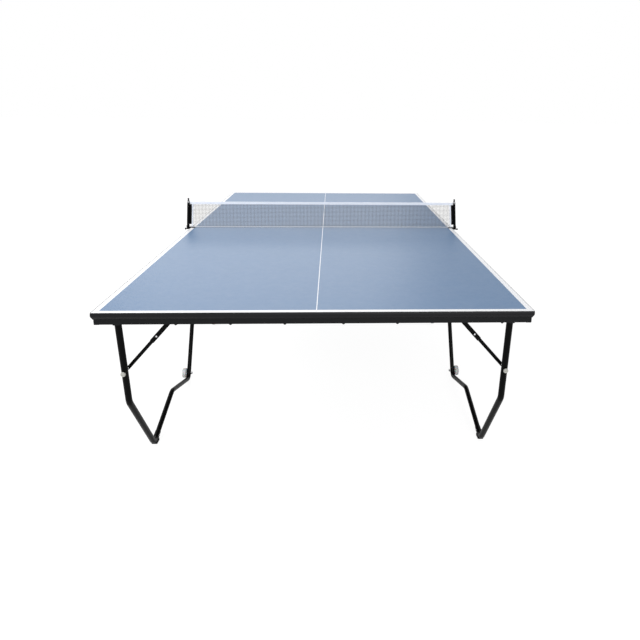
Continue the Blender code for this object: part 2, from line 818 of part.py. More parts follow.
def build_brace_lower(brace):
    """A flat link with rounded, bored ends."""
    half_width = BRACE_LOWER_WIDTH / 2
    half = BRACE_LOWER_THICKNESS / 2
    body = rounded_box(
        (-half_width, -half, -half_width),
        (BRACE_LOWER_LENGTH + half_width, half, half_width),
        half_width * 0.98,
        1,
    )
    bores = []
    for along in (0.0, BRACE_LOWER_LENGTH):
        bores.append(rod((along, -2 * half, 0), (along, 2 * half, 0), BOLT_RADIUS + RUNNING_GAP))
    return laid_along_brace(cut(body, *bores), brace["knee"], brace)


def build_brace_knob(brace):
    """A domed cap and bolt through the outer tube, ending just short of the link."""
    knob = knob_point()
    lean = (KINK_Y - OUTER_TOP_Y) / (HINGE_Z - KINK_HEIGHT)
    clear = OUTER_TUBE_RADIUS * math.sqrt(1 + lean * lean) + SEAT_GAP
    front = knob.y - clear - lean * KNOB_RADIUS
    back = knob.y + clear + lean * KNOB_NUT_RADIUS
    tip = brace["y"] - BRACE_LOWER_THICKNESS / 2 - BOLT_TIP_GAP
    outer = front - KNOB_THICKNESS
    profile = [
        (front, TURNED_CORE),
        (front, KNOB_RADIUS - KNOB_SKIRT_STEP),
        (front - KNOB_SKIRT, KNOB_RADIUS),
        (outer + KNOB_EDGE, KNOB_RADIUS),
        (outer + 0.3 * KNOB_EDGE, KNOB_RADIUS - 0.4 * KNOB_EDGE),
        (outer, KNOB_RADIUS - 1.6 * KNOB_EDGE),
        (outer, TURNED_CORE),
    ]
    cap = turned(profile, (knob.x, 0.0, knob.z), (0, 1, 0), ROUND_SIDES)
    bolt = rod((knob.x, outer + SHANK_LAP, knob.z), (knob.x, tip, knob.z), BOLT_RADIUS)
    nut = rod(
        (knob.x, back, knob.z),
        (knob.x, back + KNOB_NUT_THICKNESS, knob.z),
        KNOB_NUT_RADIUS,
        NUT_SIDES,
    )
    return joined(cap, bolt, nut)


# ---------------------------------------------------------------- corners and halves
def corner_shapes():
    """Every piece that repeats at the four corners: name, shape and finish."""
    brace = brace_layout()
    return {
        "hinge_bracket_outer": (build_outer_bracket(brace), BLACK_STEEL),
        "hinge_bracket_inner": (build_inner_bracket(), BLACK_STEEL),
        "leg_tube_outer": (build_outer_tube(), BLACK_STEEL),
        "leg_tube_inner": (build_inner_tube(), BLACK_STEEL),
        "foot_pad": (build_foot_pad(), BLACK_RUBBER),
        "wheel": (build_wheel(), WHEEL_PLASTIC),
        "wheel_axle": (build_wheel_axle(), BRIGHT_STEEL),
        "brace_knob": (build_brace_knob(brace), KNOB_PLASTIC),
        "brace_upper": (build_brace_upper(brace), BLACK_STEEL),
        "brace_lower": (build_brace_lower(brace), BLACK_STEEL),
    }


def corner_point(point, side, end):
    return Vector((point[0] * side, -point[1] * end, point[2]))


def add_corner(shapes, side, end, parent):
    """One leg frame with its hinges, brace and wheel, mirrored to its corner."""
    brace = brace_layout()
    corner = f"{half_name(end)}_{side_name(side)}"
    hinge = corner_point((HINGE_X, OUTER_TOP_Y, HINGE_Z), side, end)
    pivot = corner_point((brace["pivot"].x, brace["y"], brace["pivot"].y), side, end)
    knee = corner_point((brace["knee"].x, brace["y"], brace["knee"].y), side, end)
    wheel = corner_point(wheel_centre(), side, end)
    leg = add_empty(f"leg_hinge_{corner}", hinge, parent)
    origins = {
        "leg_tube_outer": (hinge, leg),
        "leg_tube_inner": (hinge, leg),
        "foot_pad": (hinge, leg),
        "wheel_axle": (wheel, leg),
        "wheel": (wheel, leg),
        "brace_knob": (hinge, leg),
        "hinge_bracket_outer": (hinge, parent),
        "hinge_bracket_inner": (hinge, parent),
        "brace_upper": (pivot, parent),
        "brace_lower": (knee, parent),
    }
    for piece, (shape, finish) in shapes.items():
        origin, holder = origins[piece]
        add_part(f"{piece}_{corner}", mirrored(shape, side, end), finish, origin, holder)


# ---------------------------------------------------------------- net, clamps, latches
def post_lean_at(height):
    """How far outboard of its top the leaning post stands at a height."""
    return POST_LEAN * (NET_TOP - height) / (NET_TOP - BOARD_TOP)


def build_clamp_body():
    """A bent clamp with its throat open to the table edge and a bore for the screw."""
    half = CLAMP_WIDTH / 2
    wall = HALF_WIDTH + SEAT_GAP
    jaw_low = BOARD_TOP + SEAT_GAP
    jaw_top = jaw_low + CLAMP_JAW
    upper_half = half * CLAMP_UPPER_SHARE
    lower_half = half * CLAMP_LOWER_SHARE
    web = rounded_box(
        (wall, -half, CLAMP_BOTTOM), (wall + CLAMP_WEB, half, jaw_top), CLAMP_EDGE_RADIUS, 2
    )
    upper = box(
        (HALF_WIDTH - CLAMP_REACH, -upper_half, jaw_low), (POST_BASE_X, upper_half, jaw_top)
    )
    lower = rounded_box(
        (SCREW_X - CLAMP_LOWER_REACH, -lower_half, CLAMP_BOTTOM),
        (wall + CLAMP_WEB - CLAMP_EDGE_RADIUS / 2, lower_half, CLAMP_BOTTOM + CLAMP_LOWER_JAW),
        CLAMP_EDGE_RADIUS / 2,
        2,
    )
    screw_bore = rod(
        (SCREW_X, 0, CLAMP_BOTTOM - OVERCUT),
        (SCREW_X, 0, CLAMP_BOTTOM + CLAMP_LOWER_JAW + OVERCUT),
        SCREW_RADIUS + RUNNING_GAP,
    )
    return cut(joined(web, upper, lower), screw_bore)


def build_net_post():
    """Clamp, collar, leaning upright, top pin and the bar that carries the net's end."""
    base_z = BOARD_TOP + CLAMP_JAW - POST_COLLAR_DROP
    post_top = NET_TOP + POST_TOP_OVER_NET
    post = rod(
        (POST_X + post_lean_at(base_z), 0, base_z), (POST_X, 0, post_top), POST_RADIUS, ROUND_SIDES
    )
    collar = rod(
        (POST_BASE_X, 0, base_z),
        (POST_BASE_X, 0, base_z + POST_COLLAR_HEIGHT),
        POST_COLLAR_RADIUS,
        ROUND_SIDES,
    )
    pin = rod(
        (POST_X, 0, post_top - POST_LAP),
        (POST_X, 0, post_top + POST_PIN_LENGTH),
        POST_PIN_RADIUS,
    )
    bar_low = BOARD_TOP + POST_BAR_LIFT
    bar_high = TAPE_BOTTOM - SEAT_GAP
    bar = rod(
        (BAR_X + post_lean_at(bar_low), 0, bar_low),
        (BAR_X + post_lean_at(bar_high), 0, bar_high),
        POST_BAR_RADIUS,
    )
    screw_z = BOARD_TOP - POST_SCREW_DROP
    screw_start = POST_BASE_X + POST_COLLAR_RADIUS - POST_LAP
    screw_end = POST_BASE_X + POST_COLLAR_RADIUS + POST_SCREW_REACH
    screw = rod((screw_start, 0, screw_z), (screw_end, 0, screw_z), POST_SCREW_RADIUS)
    head = rod(
        (screw_end - SHANK_LAP, 0, screw_z),
        (screw_end + POST_SCREW_HEAD, 0, screw_z),
        POST_SCREW_HEAD_RADIUS,
    )
    return joined(build_clamp_body(), collar, post, pin, bar, screw, head)


def build_clamp_screw():
    """A thumb screw with a pressure pad under the rails and a knob below the jaw."""
    pad_top = RAIL_BOTTOM - SEAT_GAP
    tail = CLAMP_BOTTOM - SCREW_TAIL
    shank = rod((SCREW_X, 0, tail), (SCREW_X, 0, pad_top - SHANK_LAP), SCREW_RADIUS)
    pad = rod((SCREW_X, 0, pad_top - SCREW_PAD_THICKNESS), (SCREW_X, 0, pad_top), SCREW_PAD_RADIUS)
    knob = rod(
        (SCREW_X, 0, tail + SHANK_LAP - SCREW_KNOB_HEIGHT),
        (SCREW_X, 0, tail + SHANK_LAP),
        SCREW_KNOB_RADIUS,
    )
    return joined(shank, pad, knob)


def build_net():
    reach = BAR_X - POST_BAR_RADIUS - SEAT_GAP
    half = NET_THICKNESS / 2
    return box(
        (-reach, -half, BOARD_TOP + CLAMP_JAW + 2 * SEAT_GAP),
        (reach, half, TAPE_BOTTOM - SEAT_GAP),
    )


def build_net_tape():
    reach = POST_X - POST_RADIUS - SEAT_GAP
    half = NET_TAPE_THICKNESS / 2
    low = (-reach, -half, TAPE_BOTTOM)
    return rounded_box(low, (reach, half, NET_TOP), NET_TAPE_EDGE_RADIUS, 0)


def build_latch(side):
    """A sliding bolt through both net rails, with a peg to push it by."""
    x = side * LATCH_FROM_CENTRE
    tail = SPLIT_Y - RAIL_WIDTH - LATCH_TAIL
    bolt = rod(
        (x, tail, RAIL_MIDDLE_Z), (x, -SPLIT_Y + LATCH_ENGAGEMENT, RAIL_MIDDLE_Z), LATCH_RADIUS
    )
    peg_y = tail + 2 * LATCH_PEG_RADIUS
    peg = rod(
        (x, peg_y, RAIL_MIDDLE_Z - LATCH_PEG_DROP), (x, peg_y, RAIL_MIDDLE_Z), LATCH_PEG_RADIUS
    )
    return joined(bolt, peg)


def add_net_and_latches():
    for side in (-1, 1):
        post = mirrored(build_net_post(), side, -1)
        add_part(f"net_post_{side_name(side)}", post, BLACK_STEEL)
        screw_origin = (side * SCREW_X, 0, RAIL_BOTTOM)
        screw = mirrored(build_clamp_screw(), side, -1)
        add_part(f"clamp_screw_{side_name(side)}", screw, BRIGHT_STEEL, screw_origin)
        latch_origin = (side * LATCH_FROM_CENTRE, 0, RAIL_MIDDLE_Z)
        latch = build_latch(side)
        add_part(f"centre_latch_{side_name(side)}", latch, BRIGHT_STEEL, latch_origin)
    add_part("net", build_net(), NET_MESH)
    add_part("net_top_tape", build_net_tape(), WHITE_TAPE)


# ---------------------------------------------------------------- build
def build_table():
    shapes = corner_shapes()
    far_half = add_empty("far_half", (0, 0, RAIL_BOTTOM))
    for end, parent in ((-1, None), (1, far_half)):
        add_top_half(end, parent)
        for side in (-1, 1):
            add_corner(shapes, side, end, parent)
    add_net_and_latches()


clear_scene()
parts = new_collection(COLLECTION_NAME)
workshop = new_collection("workshop_cutters")
build_table()
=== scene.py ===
"""Finishes, fittings, net and studio for the two-piece folding table-tennis table.

Metres, +Z up, the origin on the floor under the middle of the net. Pieces that repeat at the
four corners are drawn once for the right-hand corner of the near half and mirrored.
"""

import json
import math

import bmesh
import bpy
from mathutils import Matrix, Vector


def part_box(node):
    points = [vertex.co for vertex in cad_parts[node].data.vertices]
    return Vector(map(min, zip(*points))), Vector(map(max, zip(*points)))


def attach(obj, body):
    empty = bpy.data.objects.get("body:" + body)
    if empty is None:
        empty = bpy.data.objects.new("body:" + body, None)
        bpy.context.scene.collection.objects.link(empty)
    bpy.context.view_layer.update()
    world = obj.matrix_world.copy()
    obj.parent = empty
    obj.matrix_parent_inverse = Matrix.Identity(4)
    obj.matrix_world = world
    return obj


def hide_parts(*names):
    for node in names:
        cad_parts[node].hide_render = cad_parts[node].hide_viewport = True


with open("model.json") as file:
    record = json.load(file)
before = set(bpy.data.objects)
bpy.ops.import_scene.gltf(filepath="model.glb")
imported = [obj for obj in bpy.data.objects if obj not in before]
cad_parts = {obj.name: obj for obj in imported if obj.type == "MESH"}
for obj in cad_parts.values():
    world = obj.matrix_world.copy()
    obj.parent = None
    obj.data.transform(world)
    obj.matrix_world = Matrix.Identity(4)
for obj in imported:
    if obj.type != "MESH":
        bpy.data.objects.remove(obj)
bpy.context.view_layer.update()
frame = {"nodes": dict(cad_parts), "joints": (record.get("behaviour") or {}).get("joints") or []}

MM = 0.001
SHARP_EDGE = math.radians(35)
CORNERS = [(side, end) for end in (-1, 1) for side in (-1, 1)]

# ---------------------------------------------------------------- sizes read from the frame
BOARD_LOW, BOARD_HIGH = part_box("board_near")
BAND_LOW, BAND_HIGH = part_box("edge_band_near")
SIDE_RAIL_LOW, SIDE_RAIL_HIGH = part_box("side_rail_near_right")
END_RAIL_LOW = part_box("end_rail_near")[0]
NET_LOW, NET_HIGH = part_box("net")
TAPE_LOW, TAPE_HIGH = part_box("net_top_tape")
WHEEL_LOW, WHEEL_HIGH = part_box("wheel_near_right")
KNOB_LOW, KNOB_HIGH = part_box("brace_knob_near_right")
BRACE_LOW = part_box("brace_upper_near_right")[0]
SCREW_LOW, SCREW_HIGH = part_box("clamp_screw_right")
JOINTS = {joint["name"]: joint for joint in frame["joints"]}
HINGE = Vector(JOINTS["leg_fold_near_right"]["pos_m"])
KNEE = Vector(JOINTS["brace_knee_near_right"]["pos_m"])
BRACE_TOP = Vector(JOINTS["brace_top_turn_near_right"]["pos_m"])
AXLE = Vector(JOINTS["wheel_spin_near_right"]["pos_m"])

# ---------------------------------------------------------------- sizes of the top
PLAY = 0.3 * MM
LINE_WIDTH = 20 * MM
CENTRE_LINE_WIDTH = 3 * MM
END_Y = BAND_LOW.y
HALF_WIDTH = BAND_HIGH.x
SPLIT_Y = BAND_HIGH.y
SPLIT_STRIP = 1 * MM
MOULDING_CORNER = 6 * MM
MOULDING_CORNER_STEPS = 8
BOLT_RADIUS = 4.6 * MM
END_BOLTS = (-0.484, -0.297, -0.110, 0.094, 0.283, 0.655)
END_BOLT_INSET = 7 * MM
SIDE_BOLT_COUNT = 6
SIDE_BOLT_START = 0.16
SIDE_BOLT_PITCH = 0.205

# ---------------------------------------------------------------- sizes of a leg frame
ROUND = 32
BEND_STEPS = 14
OUTER_RADIUS = 12.2 * MM
INNER_RADIUS = 10.8 * MM
TUBE_END_ROUNDING = 1 * MM
OVERRUN = 8 * MM
FOOT_SPREAD = 20 * MM
FOOT_Z = 2.3 * MM + OUTER_RADIUS
WHEEL_BEND_Z = INNER_RADIUS + PLAY
TOP = Vector((0, HINGE.y, HINGE.z))
KINK = Vector((0, END_Y + 0.139, 0.350))
FOOT_FROM_END = 0.392
APEX = Vector((0, END_Y + 0.683, 0.098))
WHEEL_FROM_END = 0.987
INNER_TOP = Vector((0, -0.113, HINGE.z))
KINK_BEND = 0.070
FOOT_BEND = 0.045
APEX_BEND = 0.060
WHEEL_BEND = 0.030
SOCKET_FROM_FOOT = 0.062
SOCKET_DEPTH = 0.036
SOCKET_RIVET_FROM_LIP = 20 * MM
SOCKET_RIVET_RADIUS = 4.2 * MM
KNEE_RIVET_FROM_KNEE = 18 * MM
KNEE_RIVET_RADIUS = 3.8 * MM
TOP_RIVET_RADIUS = 4.6 * MM
KNOB_CAP_DEPTH = 9 * MM
KNOB_SIDES = 60
KNOB_FLUTES = 12
FLUTE_DEPTH = 0.55 * MM
KNOB_BOLT_RADIUS = 2.9 * MM
KNOB_NUT_RADIUS = 5.4 * MM
HUB_PROUD = 1 * MM
WHEEL_BORE = 4.3 * MM
WHEEL_HUB = 8.6 * MM
WHEEL_RIM_DEPTH = 5 * MM
WHEEL_WEB = 2 * MM
WHEEL_RIBS = 6
RIB_HALF_WIDTH = 1 * MM

# ---------------------------------------------------------------- sizes of the net
POST_LEAN = 11 * MM
POST_RADIUS = 7.5 * MM
BAR_RADIUS = 6.5 * MM
POST_CENTRE_X = TAPE_HIGH.x + PLAY + POST_RADIUS
POST_TOP_Z = TAPE_HIGH.z + 1 * MM
NET_PITCH = 8 * MM
NET_THREAD = 1.1 * MM
LATTICE_SHARE = 0.6
NET_WAVES = [(1.2 * MM, 9.0, 0.6), (0.5 * MM, 31.0, 0.0)]
CORD_RADIUS = 1 * MM
CORD_WAVES = [(0.25 * MM, 40.0, 0.0)]
BINDING_WIDTH = 8 * MM
BINDING_HALF_THICKNESS = 1.3 * MM
TAPE_HALF_THICKNESS = 1.9 * MM
TAPE_LAYER = 0.7 * MM
TAPE_LIP = 0.4 * MM
TAPE_SAG = 0.4 * MM
TAPE_WAVES = [(0.35 * MM, 13.0, 0.0), (0.2 * MM, 47.0, 1.0)]
FLARE_WAVES = [(0.25 * MM, 29.0, 0.0)]
STITCH_PITCH = 4 * MM
STITCH_END = 10 * MM
STITCH_SIZE = (1.35 * MM, 0.28 * MM, 0.32 * MM, 1)
TIE_THREAD = 0.8 * MM
TIE_LIFT = 0.95 * MM
KNOT_SIZE = (2.2 * MM, 1.7 * MM, 2.2 * MM)
THREAD_PITCH = 1.25 * MM
THREAD_FORM = [(0.3 * MM, 3.3 * MM), (0.75 * MM, 3.95 * MM), (0.95 * MM, 3.95 * MM)]
GRIP_HEIGHT = 10 * MM
GRIP_LOBES = 8
LOBE_DEPTH = 1.5 * MM


# ---------------------------------------------------------------- finishes
def display(red, green, blue):
    """A colour given as it looks on a display, 0 to 255, made linear."""
    out = []
    for value in (red, green, blue):
        share = value / 255
        out.append(share / 12.92 if share <= 0.04045 else ((share + 0.055) / 1.055) ** 2.4)
    return (*out, 1.0)


def new_node(tree, kind, inputs=None, settings=None):
    """A node whose inputs are set from values, or linked from sockets."""
    made = tree.nodes.new(kind)
    for name, value in (settings or {}).items():
        setattr(made, name, value)
    for name, value in (inputs or {}).items():
        if isinstance(value, bpy.types.NodeSocket):
            tree.links.new(value, made.inputs[name])
        else:
            made.inputs[name].default_value = value
    return made


def new_group(name, inputs, outputs):
    """An empty node group with named sockets; returns the tree and its two end nodes."""
    tree = bpy.data.node_groups.new(name, "ShaderNodeTree")
    for label, (kind, default) in inputs.items():
        socket = tree.interface.new_socket(label, in_out="INPUT", socket_type=kind)
        socket.default_value = default
    for label, kind in outputs.items():
        tree.interface.new_socket(label, in_out="OUTPUT", socket_type=kind)
    return tree, new_node(tree, "NodeGroupInput"), new_node(tree, "NodeGroupOutput")


def math_node(tree, operation, first, second):
    made = new_node(tree, "ShaderNodeMath", {0: first, 1: second}, {"operation": operation})
    return made.outputs[0]


def noise(tree, scale, detail, roughness, place):
    values = {"Scale": scale, "Detail": detail, "Roughness": roughness, "Vector": place}
    return new_node(tree, "ShaderNodeTexNoise", values).outputs["Fac"]


def ramp(tree, value, low, high):
    """A value spread from 0 at low to 1 at high."""
    made = new_node(
        tree, "ShaderNodeMapRange", {"Value": value, "From Min": low, "From Max": high}
    )
    return made.outputs["Result"]


def mixed(tree, share, first, second):
    """The second colour laid over the first by a share."""
    sockets = {0: share, 6: first, 7: second}
    return new_node(tree, "ShaderNodeMix", sockets, {"data_type": "RGBA"}).outputs[2]


def place_in(tree):
    return new_node(tree, "ShaderNodeTexCoord").outputs["Object"]


def make_mottle():
    """Slow drifts of colour and gloss, as paint and plastic have over a hand's width."""
    tree, given, result = new_group(
        "mottle",
        {
            "Colour": ("NodeSocketColor", (0.5, 0.5, 0.5, 1)),
            "Amount": ("NodeSocketFloat", 0.1),
            "Scale": ("NodeSocketFloat", 12.0),
            "Roughness": ("NodeSocketFloat", 0.4),
            "Spread": ("NodeSocketFloat", 0.1),
        },
        {"Colour": "NodeSocketColor", "Roughness": "NodeSocketFloat"},
    )
    place = place_in(tree)
    slow = noise(tree, given.outputs["Scale"], 4.0, 0.6, place)
    level = math_node(tree, "SUBTRACT", slow, 0.5)
    gain = math_node(tree, "MULTIPLY_ADD", level, given.outputs["Amount"])
    gain.node.inputs[2].default_value = 1.0
    toned = new_node(tree, "ShaderNodeVectorMath", {0: given.outputs["Colour"]},
                     {"operation": "SCALE"})
    tree.links.new(gain, toned.inputs["Scale"])
    tree.links.new(toned.outputs[0], result.inputs["Colour"])
    quick_scale = math_node(tree, "MULTIPLY", given.outputs["Scale"], 7.0)
    smear = noise(tree, quick_scale, 3.0, 0.65, place)
    smear_level = math_node(tree, "SUBTRACT", smear, 0.5)
    gloss = math_node(tree, "MULTIPLY_ADD", smear_level, given.outputs["Spread"])
    tree.links.new(given.outputs["Roughness"], gloss.node.inputs[2])
    tree.links.new(gloss, result.inputs["Roughness"])
    return tree


def make_grain():
    """Fine surface relief, such as the skin of sprayed paint or moulded plastic."""
    tree, given, result = new_group(
        "grain",
        {"Scale": ("NodeSocketFloat", 600.0)},
        {"Height": "NodeSocketFloat"},
    )
    place = place_in(tree)
    fine = noise(tree, given.outputs["Scale"], 2.0, 0.5, place)
    wide_scale = math_node(tree, "MULTIPLY", given.outputs["Scale"], 0.21)
    wide = noise(tree, wide_scale, 2.0, 0.5, place)
    total = math_node(tree, "MULTIPLY_ADD", fine, 0.6)
    tree.links.new(wide, total.node.inputs[2])
    tree.links.new(total, result.inputs["Height"])
    return tree


def make_edge_wear():
    """Paint rubbed thin along sharp edges, broken up by noise."""
    tree, given, result = new_group(
        "edge wear",
        {
            "Colour": ("NodeSocketColor", (0.1, 0.1, 0.1, 1)),
            "Worn Colour": ("NodeSocketColor", (0.4, 0.4, 0.4, 1)),
            "Amount": ("NodeSocketFloat", 0.3),
            "Radius": ("NodeSocketFloat", 0.0015),
        },
        {"Colour": "NodeSocketColor", "Mask": "NodeSocketFloat"},
    )
    smooth = new_node(tree, "ShaderNodeBevel", {"Radius": given.outputs["Radius"]}, {"samples": 4})
    true = new_node(tree, "ShaderNodeNewGeometry").outputs["Normal"]
    facing = new_node(
        tree, "ShaderNodeVectorMath", {0: smooth.outputs[0], 1: true}, {"operation": "DOT_PRODUCT"}
    )
    edge = ramp(tree, facing.outputs["Value"], 0.995, 0.86)
    patch = ramp(tree, noise(tree, 90.0, 4.0, 0.6, place_in(tree)), 0.42, 0.66)
    mask = math_node(tree, "MULTIPLY", math_node(tree, "MULTIPLY", edge, patch),
                     given.outputs["Amount"])
    tree.links.new(mask, result.inputs["Mask"])
    worn = mixed(tree, mask, given.outputs["Colour"], given.outputs["Worn Colour"])
    tree.links.new(worn, result.inputs["Colour"])
    return tree


def make_dust():
    """A thin pale dust on what faces up, thicker in patches."""
    tree, given, result = new_group(
        "settled dust",
        {
            "Colour": ("NodeSocketColor", (0.1, 0.1, 0.1, 1)),
            "Dust Colour": ("NodeSocketColor", (0.5, 0.5, 0.5, 1)),
            "Amount": ("NodeSocketFloat", 0.1),
        },
        {"Colour": "NodeSocketColor"},
    )
    normal = new_node(tree, "ShaderNodeNewGeometry").outputs["Normal"]
    up = new_node(tree, "ShaderNodeSeparateXYZ", {0: normal}).outputs["Z"]
    level = ramp(tree, up, 0.55, 1.0)
    patch = ramp(tree, noise(tree, 35.0, 5.0, 0.7, place_in(tree)), 0.35, 0.75)
    mask = math_node(tree, "MULTIPLY", math_node(tree, "MULTIPLY", level, patch),
                     given.outputs["Amount"])
    dusty = mixed(tree, mask, given.outputs["Colour"], given.outputs["Dust Colour"])
    tree.links.new(dusty, result.inputs["Colour"])
    return tree


def make_weave():
    """A plain over-and-under weave in the X and Z directions."""
    tree, given, result = new_group(
        "weave",
        {"Scale": ("NodeSocketFloat", 1800.0)},
        {"Height": "NodeSocketFloat", "Shade": "NodeSocketFloat"},
    )
    place = new_node(tree, "ShaderNodeSeparateXYZ", {0: place_in(tree)})
    along = math_node(tree, "MULTIPLY", place.outputs["X"], given.outputs["Scale"])
    up = math_node(tree, "MULTIPLY", place.outputs["Z"], given.outputs["Scale"])
    over = math_node(tree, "MULTIPLY", math_node(tree, "SINE", along, 0.0),
                     math_node(tree, "SINE", up, 0.0))
    height = ramp(tree, over, -1.0, 1.0)
    tree.links.new(height, result.inputs["Height"])
    shade = ramp(tree, over, -1.6, 0.6)
    tree.links.new(shade, result.inputs["Shade"])
    return tree


GROUPS = {
    "mottle": make_mottle(),
    "grain": make_grain(),
    "edge wear": make_edge_wear(),
    "dust": make_dust(),
    "weave": make_weave(),
}


def placed_group(tree, name, inputs):
    """One of the shared groups in a material, with its own values."""
    return new_node(tree, "ShaderNodeGroup", inputs, {"node_tree": GROUPS[name]}).outputs


def blank_material(name):
    made = bpy.data.materials.new(name)
    made.use_nodes = True
    shader = made.node_tree.nodes["Principled BSDF"]
    return made, made.node_tree, shader


def complete(tree, shader, height, depth, fixed):
    """Relief from a height, and the values that are the same all over."""
    bump = new_node(tree, "ShaderNodeBump", {"Height": height, "Distance": depth})
    tree.links.new(bump.outputs["Normal"], shader.inputs["Normal"])
    for socket, value in (fixed or {}).items():
        shader.inputs[socket].default_value = value


def finish(name, colour, roughness, spread, mottle, grain_scale, grain_depth,
           worn=None, wear=0.0, dust=0.0, dust_colour=display(150, 148, 144), fixed=None):
    """A painted, plated or moulded surface from the shared effects."""
    made, tree, shader = blank_material(name)
    base = placed_group(tree, "mottle", {
        "Colour": colour, "Amount": mottle, "Scale": 9.0, "Roughness": roughness, "Spread": spread,
    })
    tone = base["Colour"]
    if wear:
        tone = placed_group(tree, "edge wear", {
            "Colour": tone, "Worn Colour": worn, "Amount": wear,
        })["Colour"]
    if dust:
        tone = placed_group(tree, "dust", {
            "Colour": tone, "Dust Colour": dust_colour, "Amount": dust,
        })["Colour"]
    tree.links.new(tone, shader.inputs["Base Color"])
    tree.links.new(base["Roughness"], shader.inputs["Roughness"])
    relief = placed_group(tree, "grain", {"Scale": grain_scale})["Height"]
    complete(tree, shader, relief, grain_depth, fixed)
    return made


def woven(name, colour, shadow, scale, depth, fixed=None):
    """Cotton or nylon tape with a plain weave."""
    made, tree, shader = blank_material(name)
    weave = placed_group(tree, "weave", {"Scale": scale})
    base = placed_group(tree, "mottle", {
        "Colour": colour, "Amount": 0.08, "Scale": 14.0, "Roughness": 0.85, "Spread": 0.1,
    })
    tone = mixed(tree, weave["Shade"], shadow, base["Colour"])
    tree.links.new(tone, shader.inputs["Base Color"])
    tree.links.new(base["Roughness"], shader.inputs["Roughness"])
    complete(tree, shader, weave["Height"], depth, fixed)
    return made


LOW_GLOSS = {"Specular IOR Level": 0.22}
BLUE_PAINT = finish(
    "blue playing paint", display(82, 116, 154), 0.44, 0.06, 0.06, 900.0, 0.02 * MM,
    dust=0.05, dust_colour=display(190, 196, 205),
)
LINE_PAINT = finish(
    "white line paint", display(238, 239, 242), 0.42, 0.08, 0.03, 900.0, 0.02 * MM,
)
UNDERSIDE = finish(
    "sealed board underside", display(46, 52, 60), 0.72, 0.12, 0.18, 420.0, 0.12 * MM,
    fixed=LOW_GLOSS,
)
EDGE_PLASTIC = finish(
    "black edge plastic", display(15, 15, 18), 0.44, 0.1, 0.12, 700.0, 0.04 * MM,
    worn=display(64, 64, 68), wear=0.25, fixed={"Specular IOR Level": 0.18},
)
RAIL_PAINT = finish(
    "black rail powder coat", display(11, 12, 14), 0.46, 0.1, 0.12, 1100.0, 0.05 * MM,
    worn=display(90, 88, 86), wear=0.25, dust=0.08, fixed={"Specular IOR Level": 0.15},
)
TUBE_ENAMEL = finish(
    "black tube enamel", display(6, 6, 6), 0.30, 0.06, 0.1, 1300.0, 0.03 * MM,
    worn=display(70, 68, 66), wear=0.2, dust=0.01, fixed={"Specular IOR Level": 0.06},
)
POST_ENAMEL = finish(
    "black post enamel", display(7, 7, 8), 0.36, 0.08, 0.1, 1300.0, 0.03 * MM,
    worn=display(80, 78, 76), wear=0.25, dust=0.02, fixed={"Specular IOR Level": 0.06},
)
ZINC = finish(
    "bright zinc plate", display(196, 196, 198), 0.30, 0.14, 0.14, 1500.0, 0.02 * MM,
    worn=display(120, 118, 114), wear=0.3, fixed={"Metallic": 1.0},
)
BLACKED_STEEL = finish(
    "oil blacked steel", display(46, 46, 48), 0.42, 0.08, 0.1, 600.0, 0.02 * MM,
    fixed={"Metallic": 0.6, "Specular IOR Level": 0.3},
)
FOOT_RUBBER = finish(
    "black foot rubber", display(28, 28, 28), 0.82, 0.1, 0.2, 800.0, 0.12 * MM,
    dust=0.25, fixed=LOW_GLOSS,
)
WHEEL_NYLON = finish(
    "milky wheel nylon", display(208, 209, 210), 0.38, 0.1, 0.08, 500.0, 0.05 * MM,
    worn=display(160, 158, 154), wear=0.4,
    fixed={"Subsurface Weight": 0.25, "Subsurface Scale": 0.004},
)
KNOB_PLASTIC = finish(
    "pale grey knob plastic", display(168, 168, 162), 0.36, 0.08, 0.08, 700.0, 0.04 * MM,
    worn=display(150, 150, 150), wear=0.3,
)
PLUG_PLASTIC = finish(
    "black plug plastic", display(30, 30, 31), 0.55, 0.08, 0.12, 600.0, 0.06 * MM,
    fixed=LOW_GLOSS,
)
CAP_PLASTIC = finish(
    "white cap plastic", display(226, 226, 228), 0.40, 0.08, 0.05, 600.0, 0.04 * MM,
)
NET_THREAD_FINISH = finish(
    "net thread", display(78, 73, 68), 0.9, 0.08, 0.25, 2400.0, 0.1 * MM,
    fixed={"Specular IOR Level": 0.1},
)
TAPE_COTTON = woven(
    "white tape weave", display(238, 242, 250), display(208, 214, 227), 2600.0, 0.12 * MM,
    fixed={"Sheen Weight": 0.2, "Sheen Roughness": 0.6, "Specular IOR Level": 0.2},
)
TIE_COTTON = finish(
    "white tie cord", display(228, 228, 231), 0.88, 0.06, 0.1, 2600.0, 0.15 * MM,
    fixed={"Sheen Weight": 0.2, "Specular IOR Level": 0.2},
)


# ---------------------------------------------------------------- mesh helpers
def angles(count):
    """The angles of a full turn in equal steps."""
    return [math.tau * i / count for i in range(count)]


def skin(rings, looped=False):
    """A surface over rings of points, closed by end faces or back onto the first ring."""
    bm = bmesh.new()
    loops = [[bm.verts.new(point) for point in ring] for ring in rings]
    count = len(loops[0])
    for first, second in zip(loops, loops[1:] + loops[:1] if looped else loops[1:]):
        for i in range(count):
            j = (i + 1) % count
            bm.faces.new((first[i], first[j], second[j], second[i]))
    if not looped:
        bm.faces.new(loops[0][::-1])
        bm.faces.new(loops[-1])
    bmesh.ops.recalc_face_normals(bm, faces=bm.faces[:])
    return bm


def lathe(profile, start, axis, sides, hollow=False):
    """(along, radius) points turned about an axis, closed at both ends or as a hollow ring."""
    base = Vector(start)
    turn = Vector(axis).to_track_quat("Z", "Y")
    rings = []
    for along, radius in profile:
        rings.append([
            base + turn @ Vector((radius * math.cos(angle), radius * math.sin(angle), along))
            for angle in angles(sides)
        ])
    return skin(rings, hollow)


